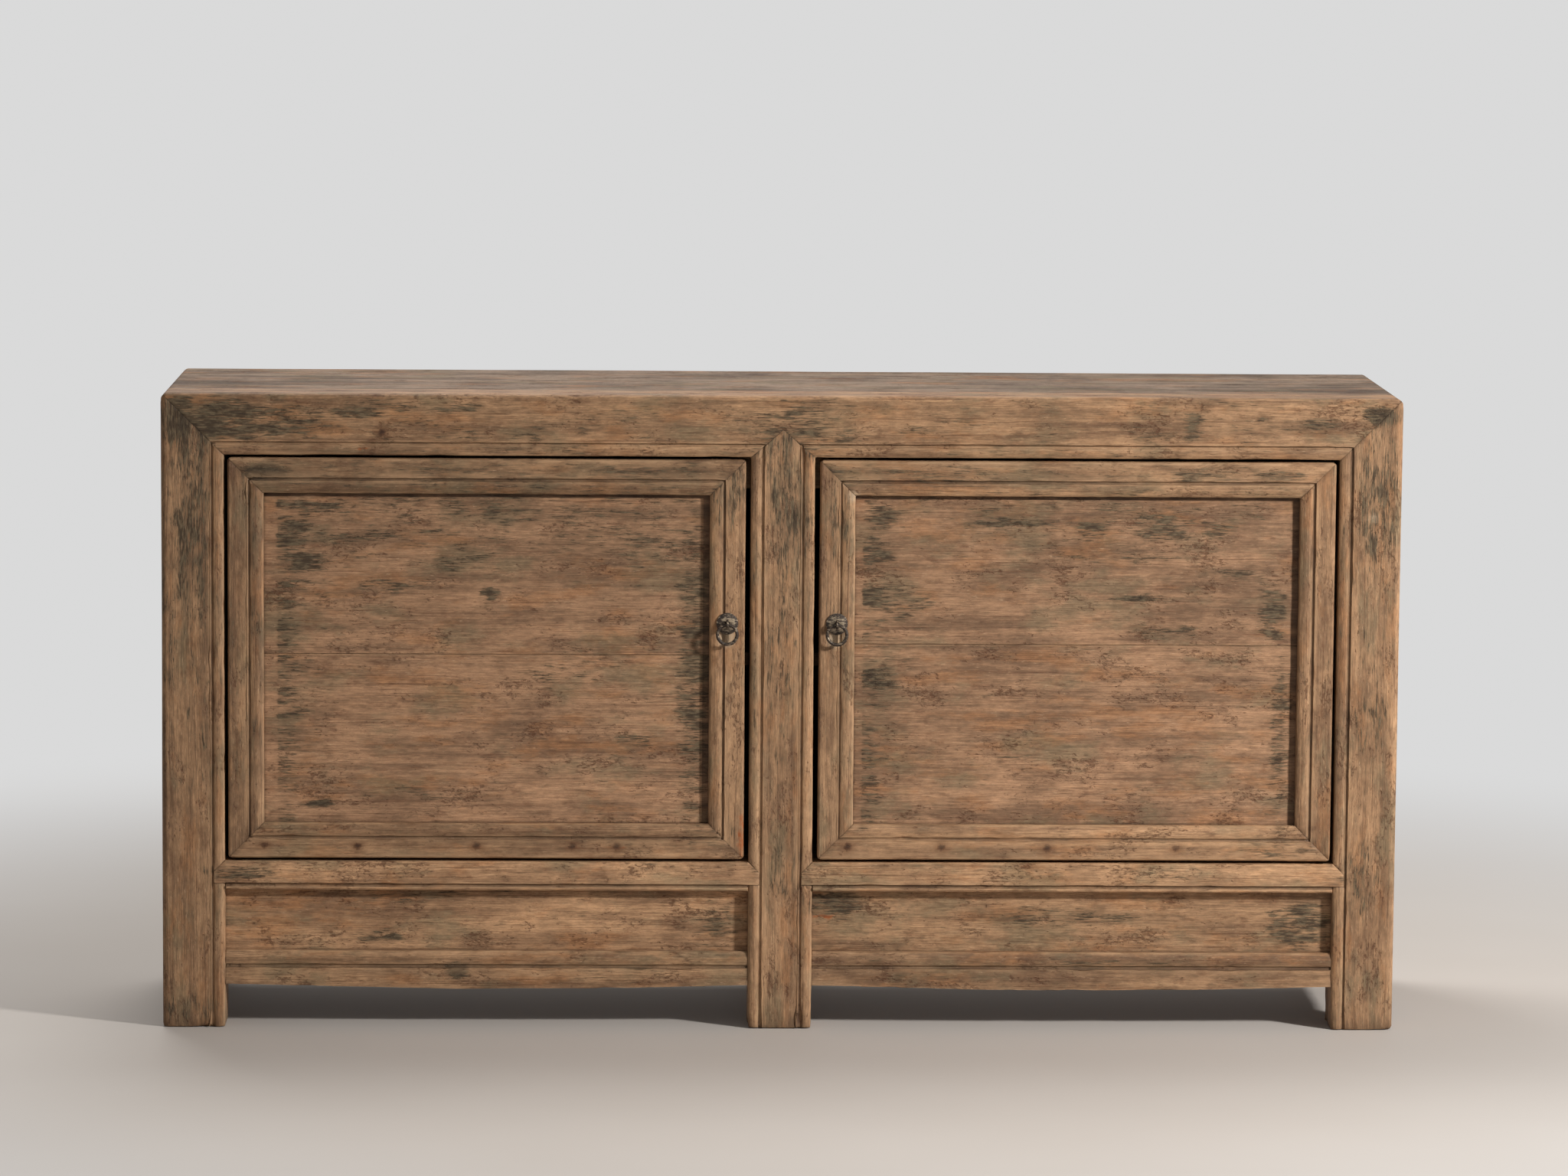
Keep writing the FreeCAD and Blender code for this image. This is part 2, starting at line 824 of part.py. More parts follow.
def side_panels():
    face = left + size.side_panel_setback
    corner_posts = ["front_left_post", "back_left_post"]
    panel(
        "left_side_panel", corner_posts + ["left_top_rail", "left_sill"],
        x=(face, face + size.side_panel_thickness),
        y=grown(cross_span, size.housing),
        z=grown((size.sill_level, side_rail_under), size.housing),
        thin="x", twin="right_side_panel",
    )
    label = "left_apron_board"
    inner = face + size.side_apron_thickness
    band = face - size.side_apron_band
    board = prism(f"{label}_plank", "y", [
        (face, sill_under + size.housing),
        (face, apron_top),
        (band, apron_top),
        (band, size.apron_level),
        (inner, size.apron_level),
        (inner, sill_under + size.housing),
    ], cross_span)
    piece(label, board, twin="right_apron_board")
    house(
        label, ["left_sill"],
        x=grown((face, inner), size.panel_clearance),
        y=grown(cross_span, size.end_clearance),
        z=grown((sill_under, sill_under + size.housing), size.end_clearance),
    )
    height = (size.apron_level + size.shoulder, sill_under)
    tongue = size.housing
    tenon(label, "front_left_post", (face, inner), (front_inside - tongue, front_inside), height, along="y")
    tenon(label, "back_left_post", (face, inner), (back_inside, back_inside + tongue), height, along="y")


def back_boards():
    label = "left_back_boards"
    x = grown((back_post_edge, back_centre_edge), size.housing)
    y = (back - size.back_board_setback - size.back_board_thickness, back - size.back_board_setback)
    z = grown((size.sill_level, side_rail_under), size.housing)
    seam = across(size.back_seam_level, size.board_gap)
    boards = compound(f"{label}_pair", [
        block("left_lower_back_board", x, y, (z[0], seam[0])),
        block("left_upper_back_board", x, y, (seam[1], z[1])),
    ])
    piece(label, boards, twin="right_back_boards")
    house(
        label, ["back_left_post", "back_centre_post", "back_left_sill", "back_top_rail"],
        x=grown(x, size.end_clearance),
        y=grown(y, size.panel_clearance),
        z=grown(z, size.end_clearance),
        both_sides=["back_centre_post", "back_top_rail"],
    )


# Doors, modelled at the left and mirrored to the right


def frame_section():
    """Points (from the outer edge, behind the face) of a door's moulded frame member."""
    arris = size.frame_arris
    bulge = arris * (1 - math.sqrt(0.5))
    groove_front = size.panel_recess - size.panel_clearance
    groove_back = size.panel_recess + size.panel_thickness + size.panel_clearance
    groove_foot = size.frame_width - size.panel_housing
    return [
        (zero, size.door_thickness),
        (zero, arris),
        Via((bulge, bulge), (arris, zero)),
    ] + bead(size.frame_width, -1, size.frame_band) + [
        (size.frame_width, groove_front),
        (groove_foot, groove_front),
        (groove_foot, groove_back),
        (size.frame_width, groove_back),
        (size.frame_width, size.door_thickness),
    ]


def mitre_prism(name, outline):
    return prism(name, "y", outline, (door_face - size.overcut, door_face + size.frame_mitre_depth))


def stile_mitre(name, x, z, inward_x, inward_z):
    """What the face mitre takes off a stile at one corner of the door."""
    over = size.overcut
    reach = size.frame_width + over
    gap = size.mitre_gap
    return mitre_prism(name, [
        (x - over * inward_x, z + (gap - over) * inward_z),
        (x + reach * inward_x, z + (reach + gap) * inward_z),
        (x + reach * inward_x, z - over * inward_z),
    ])


def rail_mitre(name, x, z, inward_x, inward_z):
    """What the face mitre takes off a rail at one corner of the door."""
    over = size.overcut
    reach = size.frame_width + over
    return mitre_prism(name, [
        (x - over * inward_x, z - over * inward_z),
        (x + reach * inward_x, z + reach * inward_z),
        (x - over * inward_x, z + reach * inward_z),
    ])


def door_stiles():
    edges = {"left_door_hinge_stile": (door_left, 1), "left_door_lock_stile": (door_right, -1)}
    for label, (edge, inward) in edges.items():
        outline = mapped(
            frame_section(),
            lambda along, behind, edge=edge, inward=inward: (edge + along * inward, door_face + behind),
        )
        bar = prism(f"{label}_bar", "z", outline, (door_bottom, door_top))
        mitres = [
            stile_mitre(f"{label}_top_mitre", edge, door_top, inward, -1),
            stile_mitre(f"{label}_foot_mitre", edge, door_bottom, inward, 1),
        ]
        piece(label, trimmed(f"{label}_mitred", bar, mitres), twin=label.replace("left", "right"))


def door_rails():
    edges = {"left_door_top_rail": (door_top, -1), "left_door_bottom_rail": (door_bottom, 1)}
    stiles = {"left_door_hinge_stile": (door_left, 1), "left_door_lock_stile": (door_right, -1)}
    over = size.overcut
    wide = size.frame_width
    for label, (edge, inward) in edges.items():
        outline = mapped(
            frame_section(),
            lambda along, behind, edge=edge, inward=inward: (door_face + behind, edge + along * inward),
        )
        bar = prism(f"{label}_bar", "x", outline, (door_left, door_right))
        wastes = []
        for stile, (side, turn) in stiles.items():
            wastes.append(rail_mitre(f"{label}_mitre_at_{stile}", side, edge, turn, inward))
            wastes.append(block(
                f"{label}_shoulder_at_{stile}",
                in_order(side - over * turn, side + wide * turn),
                (door_face + size.frame_mitre_depth, door_back + over),
                in_order(edge - over * inward, edge + (wide + over) * inward),
            ))
        piece(label, trimmed(f"{label}_mitred", bar, wastes), twin=label.replace("left", "right"))
        for stile, (side, turn) in stiles.items():
            rail_tenon(label, stile, side, turn, edge, inward)


def rail_tenon(label, stile, side, turn, edge, inward):
    """A haunched tenon in line with the panel groove."""
    shoulder = side + size.frame_width * turn
    thickness = (door_face + size.panel_recess, door_face + size.panel_recess + size.panel_thickness)
    inner = edge + (size.frame_width - size.panel_housing) * inward
    tip = shoulder - size.tenon_length * turn
    haunch = shoulder - size.panel_housing * turn
    tenon(
        label, stile, in_order(tip, shoulder), thickness,
        in_order(edge + size.shoulder * inward, inner), along="x",
    )
    additions[label].append(block(
        f"{label}_haunch_at_{stile}", in_order(haunch, shoulder), thickness, in_order(edge, inner),
    ))


def in_order(one, other):
    return (one, other) if one.value < other.value else (other, one)


def door_pivots():
    x = door_left + size.pivot_inset
    y = door_face + size.pivot_setback
    stile = "left_door_hinge_stile"
    top = (door_top, door_top + size.top_pivot_length)
    foot = (door_bottom - size.foot_pivot_length, door_bottom)
    additions[stile].append(peg(f"{stile}_top_pivot", size.pivot_radius, x, y, top))
    additions[stile].append(peg(f"{stile}_foot_pivot", size.pivot_radius, x, y, foot))
    bore = size.pivot_radius + size.pivot_clearance
    top_room = (rail_under - size.overcut, top[1] + size.end_clearance)
    foot_room = (foot[0] - size.pivot_clearance, size.sill_level + size.overcut)
    cuts["front_top_rail"].append(peg("left_top_socket", bore, x, y, top_room))
    cuts["front_top_rail"].append(peg("right_top_socket", bore, -x, y, top_room))
    cuts["front_left_sill"].append(peg("foot_socket", bore, x, y, foot_room))


def door_panel(side, seam):
    """The two panel boards and the dovetailed batten that keeps them flat."""
    turned = side == "right"
    hold = size.panel_housing - size.end_clearance
    width = grown((door_left + size.frame_width, door_right - size.frame_width), hold)
    panel_face = door_face + size.panel_recess
    panel_back = panel_face + size.panel_thickness
    depth = (panel_face, panel_back)
    foot = door_bottom + size.frame_width - hold
    head = door_top - size.frame_width + hold
    gap = across(seam, size.board_gap)
    lower = f"{side}_door_lower_board"
    upper = f"{side}_door_upper_board"
    piece(lower, block(f"{lower}_plank", width, depth, (foot, gap[0])), turned=turned)
    piece(upper, block(f"{upper}_plank", width, depth, (gap[1], head)), turned=turned)
    tenon(
        lower, upper, grown(width, -size.panel_housing),
        across((panel_face + panel_back) / 2, size.seam_tongue_thickness),
        (gap[0], gap[1] + size.seam_tongue), along="z",
    )
    middle = (door_left + door_right) / 2
    clear = size.tenon_clearance
    neck = size.batten_dovetail / 2
    tail = neck + size.batten_flare
    bed = panel_back - size.batten_housing
    for board in (lower, upper):
        cuts[board].append(prism(f"{board}_dovetail", "z", [
            (middle - tail - clear, bed - clear),
            (middle + tail + clear, bed - clear),
            (middle + neck + clear, panel_back),
            (middle + neck + clear, panel_back + size.overcut),
            (middle - neck - clear, panel_back + size.overcut),
            (middle - neck - clear, panel_back),
        ], (door_bottom, door_top)))
    if turned:
        return
    label = "left_door_batten"
    half = size.batten_width / 2
    batten_back = door_back - size.board_gap
    bar = prism(f"{label}_bar", "z", [
        (middle - tail, bed),
        (middle + tail, bed),
        (middle + neck, panel_back),
        (middle + half, panel_back),
        (middle + half, batten_back),
        (middle - half, batten_back),
        (middle - half, panel_back),
        (middle - neck, panel_back),
    ], grown((door_bottom + size.frame_width, door_top - size.frame_width), -size.end_clearance))
    piece(label, bar, twin="right_door_batten")


def door_stops():
    stop_front = door_back + size.stop_clearance
    stop = block(
        "left_door_stop",
        (centre_edge - size.stop_block_width, centre_edge),
        (stop_front, stop_front + size.stop_block_depth),
        (rail_under - size.stop_block_height, rail_under),
    )
    piece("door_stops", compound("door_stop_pair", [stop, mirrored(stop, "right_door_stop")]))


# Ring pulls, modelled around the middle of their plate on the door's face


def pull_plate():
    label = "left_pull_plate"
    body = doc.addObject("PartDesign::Body", f"{label}_turned")
    sketch = new_sketch(body, f"{label}_section", "XY_Plane")
    crown = size.plate_edge + (size.plate_height - size.plate_edge) * 0.75
    draw(sketch, [
        (staple_bore, zero),
        (size.plate_radius, zero),
        (size.plate_radius, -size.plate_edge),
        Via(((staple_bore + size.plate_radius) / 2, -crown), (staple_bore, -size.plate_height)),
    ])
    turn = body.newObject("PartDesign::Revolution", f"{label}_turn")
    turn.Profile = sketch
    turn.ReferenceAxis = (sketch, ["V_Axis"])
    turn.Angle = 360
    place(body, pull_x, door_face, size.pull_level)
    piece(label, body, twin="right_pull_plate")


def staple_path():
    """Half of the split staple's centre line (out from the face, up), from its prong to its eye."""
    neck = size.staple_neck
    eye = size.staple_eye
    turn = size.pull_clearance + size.staple_wire
    prong_back = size.door_thickness + turn
    prong_root = staple_leg + turn
    diagonal = turn * math.sqrt(0.5)
    span = eye + neck
    rise = staple_leg + neck
    reach = root(neck_run * neck_run + (rise + span) * (rise + span))
    lean = (rise + span) / reach
    slide = neck_run / reach
    return [
        (prong_back, prong_root + size.staple_prong),
        (prong_back, prong_root),
        Via(
            (size.door_thickness + diagonal, prong_root - diagonal),
            (size.door_thickness, staple_leg),
        ),
        (-size.plate_height, staple_leg),
        Via(
            (-size.plate_height - neck * slide, rise - neck * lean),
            (eye_out + neck_run * eye / span, rise * eye / span),
        ),
    ]


def pull_staple():
    label = "left_pull_staple"
    body = doc.addObject("PartDesign::Body", f"{label}_bent")
    path = new_sketch(body, f"{label}_path", "YZ_Plane")
    upper = staple_path()
    prong_end, prong_root, bend, leg, neck = upper
    draw(path, upper + [
        Via((eye_out - size.staple_eye, zero), (neck.end[0], -neck.end[1])),
        Via((neck.through[0], -neck.through[1]), (leg[0], -leg[1])),
        (bend.end[0], -bend.end[1]),
        Via((bend.through[0], -bend.through[1]), (prong_root[0], -prong_root[1])),
        (prong_end[0], -prong_end[1]),
    ], closed=False)
    section = new_sketch(body, f"{label}_section", "XY_Plane")
    section.setExpression("AttachmentOffset.Base.z", prong_end[1].text)
    circle = section.addGeometry(Part.Circle(vector((zero, prong_end[0])), FreeCAD.Vector(0, 0, 1), 1))
    pin_point(section, circle, 3, (zero, prong_end[0]))
    radius = section.addConstraint(Sketcher.Constraint("Radius", circle, size.staple_wire.value))
    section.setExpression(f"Constraints[{radius}]", size.staple_wire.text)
    doc.recompute()
    pipe = body.newObject("PartDesign::AdditivePipe", f"{label}_wire")
    pipe.Profile = section
    pipe.Spine = (path, [f"Edge{number}" for number in range(1, len(path.Shape.Edges) + 1)])
    place(body, pull_x, door_face, size.pull_level)
    piece(label, body, twin="right_pull_staple")
    bore = doc.addObject("Part::Cylinder", "staple_bore")
    bore.Placement = FreeCAD.Placement(FreeCAD.Vector(), FreeCAD.Rotation(FreeCAD.Vector(1, 0, 0), -90))
    bind(bore, Radius=staple_bore, Height=size.door_thickness + size.overcut * 2)
    place(bore, pull_x, door_face - size.overcut, size.pull_level)
    cuts["left_door_lock_stile"].append(bore)


def pull_ring():
    label = "left_pull_ring"
    ring = doc.addObject("Part::Torus", f"{label}_bent")
    ring.Placement = FreeCAD.Placement(FreeCAD.Vector(), FreeCAD.Rotation(FreeCAD.Vector(1, 0, 0), 90))
    bind(ring, Radius1=size.ring_radius, Radius2=size.ring_wire)
    slack = size.staple_eye - size.staple_wire - size.ring_wire - size.pull_clearance
    place(ring, pull_x, door_face + eye_out, size.pull_level - slack - size.ring_radius)
    piece(label, ring, twin="right_pull_ring")


def build():
    envelope = carcass_envelope()
    front_corner_post(envelope)
    front_centre_post()
    back_posts(envelope)
    front_top_rail(envelope)
    back_top_rail()
    side_top_rail()
    top_boards(envelope)
    front_sill()
    back_sill()
    side_and_centre_sills()
    floor_and_shelf()
    front_apron()
    side_panels()
    back_boards()
    door_stiles()
    door_rails()
    door_pivots()
    door_panel("left", size.left_seam_level)
    door_panel("right", size.right_seam_level)
    door_stops()
    pull_plate()
    pull_staple()
    pull_ring()
    nodes = {}
    for label, entry in pieces.items():
        shape = assembled(label)
        nodes[label] = mirrored(shape, f"{label}_turned") if entry.turned else shape
        if entry.twin:
            nodes[entry.twin] = mirrored(shape, f"{entry.twin}_mirror")
    for label, node in nodes.items():
        node.Label = label
    return nodes


def check(nodes):
    failed = [thing.Name for thing in doc.Objects if {"Invalid", "Error"} & set(thing.State)]
    failed += [label for label, node in nodes.items() if node.Shape.isNull() or not node.Shape.isValid()]
    if failed:
        raise RuntimeError(f"These objects failed: {failed}")


def write(nodes):
    os.makedirs("parts", exist_ok=True)
    for label, node in nodes.items():
        node.Shape.exportStep(f"parts/{label}.step")
        print(label, len(node.Shape.Solids), round(node.Shape.Volume / 1000), "cm3")


nodes = build()
doc.recompute()
check(nodes)
write(nodes)
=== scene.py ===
"""Looks of an old two-door sideboard: worn edges, hand-planed faces, patchy old lacquer and iron pulls."""

import collections
import json
import math

import bmesh
import bpy
from mathutils import Matrix, Vector, noise
from mathutils.bvhtree import BVHTree

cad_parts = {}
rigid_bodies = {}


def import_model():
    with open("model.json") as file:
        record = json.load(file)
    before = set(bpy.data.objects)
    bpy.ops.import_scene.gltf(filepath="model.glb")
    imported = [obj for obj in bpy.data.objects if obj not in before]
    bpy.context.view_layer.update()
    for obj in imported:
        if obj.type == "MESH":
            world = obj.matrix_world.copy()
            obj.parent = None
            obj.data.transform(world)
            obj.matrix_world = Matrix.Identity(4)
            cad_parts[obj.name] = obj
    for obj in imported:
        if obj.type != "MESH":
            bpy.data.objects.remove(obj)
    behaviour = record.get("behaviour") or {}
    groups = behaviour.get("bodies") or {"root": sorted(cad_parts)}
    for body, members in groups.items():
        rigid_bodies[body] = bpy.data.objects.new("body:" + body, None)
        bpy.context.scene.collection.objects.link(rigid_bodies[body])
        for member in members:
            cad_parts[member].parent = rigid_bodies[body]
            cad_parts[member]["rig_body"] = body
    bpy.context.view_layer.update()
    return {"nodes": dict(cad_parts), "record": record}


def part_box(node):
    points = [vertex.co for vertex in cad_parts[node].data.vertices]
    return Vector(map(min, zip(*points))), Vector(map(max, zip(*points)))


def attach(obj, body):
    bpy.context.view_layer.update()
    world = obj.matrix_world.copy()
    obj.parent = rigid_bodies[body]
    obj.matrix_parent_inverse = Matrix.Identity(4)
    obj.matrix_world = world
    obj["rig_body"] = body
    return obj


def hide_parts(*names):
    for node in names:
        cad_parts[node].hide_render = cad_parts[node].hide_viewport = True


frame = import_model()

# Camera, solved on the edges of the photographed frame
IMAGE_WIDTH = 2048
FOCAL_PIXELS = 8000
SENSOR_MM = 36
EYE = Vector((-0.207, -8.291, 1.541))
YAW = math.radians(1.481)
PITCH = math.radians(6.666)
ROLL = math.radians(0.434)

# Lamps: one to the right of the front and a weaker one behind
KEY_TARGET = Vector((0, -0.2, 0.5))
KEY_DISTANCE = 4.6
KEY_AZIMUTH = math.radians(56)
KEY_ELEVATION = math.radians(22)
KEY_SIZE = 0.42
KEY_WATTS = 250
BACK_DISTANCE = 3.6
BACK_AZIMUTH = math.radians(205)
BACK_ELEVATION = math.radians(62)
BACK_SIZE = 1.6
BACK_WATTS = 85

# The light of the room, in front and behind, its factors low down and high up, and how pale the room shows
FILL_SIDES = (-0.5, 0.5)
FILL_IN_FRONT = 0.21
FILL_BEHIND = 0.19
FILL_LOW = 0.05
FILL_HIGH = 1.20
FILL_TURN = (-0.05, 0.40)
ROOM_PALE = 0.70

# Floor: its size, and where it begins and ends to turn into the room, in metres
FLOOR_RADIUS = 90
FLOOR_SIDES = 96
CLIP_END = 4 * FLOOR_RADIUS
FLOOR_NEAR = 0.9
FLOOR_FAR = 2.6

# Axes by their number
X_AXIS = 0
Z_AXIS = 2

# Refining of the wooden pieces: lengths in metres, angles in radians
WELD = 1e-5
CUT_PRECISION = 1e-6
FLAT = math.radians(1)
SHARP = math.radians(28)
RIDGE = math.radians(10)
HOLLOW = math.radians(-8)
LONG_EDGE = 0.040
STRAIGHT = 0.999
EDGE_CUT = 0.0015
RIM_CUT = 0.005
SEAM_CUTS = (-0.0035, -0.0012, 0.0, 0.0012, 0.0035)
LINE_FADE = 0.0005
STRIP_FADE = 0.005
CLOSEST_CUTS = 0.0007
FINE_STEP = 0.011
COARSE_STEP = 0.040
TOUCH = 0.0008
PROBES = (0.1, 0.3, 0.5, 0.7, 0.9)
FACING = 0.7

# Wear of the wooden pieces: lengths in metres, the others as shares and factors
ROUNDING = 0.0005
ROUNDING_REACH = 0.0045
CHIP = 0.0020
CHIP_REACH = 0.009
CHIP_SIZE = 0.030
CHIP_SHIFT = Vector((5, 9, 2))
CHIP_RARITY = 0.12
FOOT_HEIGHT = 0.035
FOOT_WEAR = 3.0
WAVE = 0.0007
WAVE_LENGTH = 0.16
WAVE_WIDTH = 0.045
WAVE_CLEAR = 0.030
# Grooves are darkened partly by dirt and partly by painted shade; seams by dirt alone
GROOVE_REACH = 0.0012
GROOVE_DIRT_AND_SHADE = 0.62
SEAM_REACH = 0.0028
SEAM_DIRT = 0.32
PANEL_SEAM_DIRT = 0.55

# How pale the edges along the joint of a door panel's two boards are worn
JOINT_WEAR = {"left_door": 0.55, "right_door": 1.0}

# How much lighter or darker than its wood a piece is
TONES = {
    "front_left_sill": 1.45,
    "front_right_sill": 1.25,
    "front_left_apron_panel": 1.35,
    "left_door_top_rail": 0.80,
    "right_door_top_rail": 1.05,
    "left_door_bottom_rail": 1.06,
    "right_door_bottom_rail": 1.16,
    "left_door_hinge_stile": 0.95,
    "front_left_post": 0.93,
    "front_centre_post": 1.06,
}

# The same for the door panels, at their lower and upper edge
PANEL_FADE = {
    "left_door": (1.22, 0.80),
    "right_door": (1.12, 0.86),
}

# How far below the floor the carcass's outline is taken to go, so that wear leaves its lower edge
BELOW_FLOOR = 1.0

# Front outlines with worn corners, in metres: x limits, z limits and radius, by body
CORNERS = {
    "carcass": ((-0.825, 0.825), (-BELOW_FLOOR, 0.852), 0.012),
    "left_door": ((-0.737, -0.049), (0.229, 0.766), 0.006),
    "right_door": ((0.049, 0.737), (0.229, 0.766), 0.006),
}

# Worn outer edges: the radius on the carcass and on the doors, in metres
EDGE_RADIUS = {"carcass": 0.0060, "left_door": 0.0022, "right_door": 0.0022}

# How far the grain's texture is shifted from node to node and solid to solid, and its share on each axis
NODE_SHIFT = 3.7
SOLID_SHIFT = 1.9
GRAIN_SHIFT = (1.0, 0.7, 0.3)

# The tables of marks on the front are in millimetres
MILLIMETRES = 1000

# Peg heads on the front, by the piece that holds them: x and z, and how far short of full size
PEGS = {
    "left_door_bottom_rail": (
        (-688, 247, 3), (-564, 246, 2), (-406, 247, 0), (-278, 246, 0), (-219, 247, 0),
    ),
    "right_door_bottom_rail": ((90, 247, 0), (216, 247, 2), (357, 246, 0), (530, 247, 3)),
    "right_door_hinge_stile": ((714, 430, 4), (713, 274, 3)),
    "front_top_rail": ((-532, 800, 0),),
}

# Pale spots, by piece: x and z, and how far short of full size. Most are rubbed or chipped down to pale
# wood; the spot at x 94, z 718, at the right door's upper left inner mitre, is a painted highlight on a
# lifted mitre edge.
PALE_SPOTS = {
    "left_door_lock_stile": ((-74, 527, 0),),
    # The spot at 94, 718 here and on the top rail is a painted highlight
    "right_door_lock_stile": ((72, 527, 0), (94, 718, 10)),
    "right_door_top_rail": ((94, 718, 10),),
    "front_right_post": ((787, 692, 12), (785, 668, 11), (786, 646, 13)),
}

# How near a peg or pale spot has to be to show, in metres, and the offset of one that is too far away
MARK_REACH = 0.028
NO_MARK = Vector((0, 0, 1))

# How much paler the middle of an iron plate is
PLATE_POLISH = 0.13

# Bare strips at the left edge of the door panels: the stile beside each, and the strip's width in metres
BARE_STRIPS = {
    "left_door": ("left_door_hinge_stile", 0.014),
    "right_door": ("right_door_lock_stile", 0.007),
}
BARE_LACQUER = -0.8

# Painted shade on the door panels, in metres: a line of grime and painted shade under the top rails, and a
# painted shadow beside the right stiles, where those stiles cast theirs
GRIME_AND_SHADE_LINE = 0.0048
GRIME_AND_SHADE_LINE_DARKNESS = 0.85
RIGHT_STILES = {"left_door": "left_door_lock_stile", "right_door": "right_door_hinge_stile"}
PAINTED_SHADOW_BY_STILE = 0.0085
PAINTED_SHADOW_BY_STILE_DARKNESS = 0.70

# Dirt that has crept up the feet, in metres
FOOT_DIRT = 0.55
FOOT_DIRT_HEIGHT = 0.022

# Rust stains on the front: x, z, half width, half height, and how much
RUST = {
    "left door, lower right corner": (-54, 265, 8, 45, 1.0),
    "left door, beside the fourth peg": (-272, 243, 11, 9, 0.8),
    "left door, beside the fifth peg": (-213, 243, 11, 9, 0.7),
    "right apron panel, upper left": (62, 150, 20, 10, 1.0),
    "top rail, lower edge": (-556, 779, 14, 5, 0.8),
}

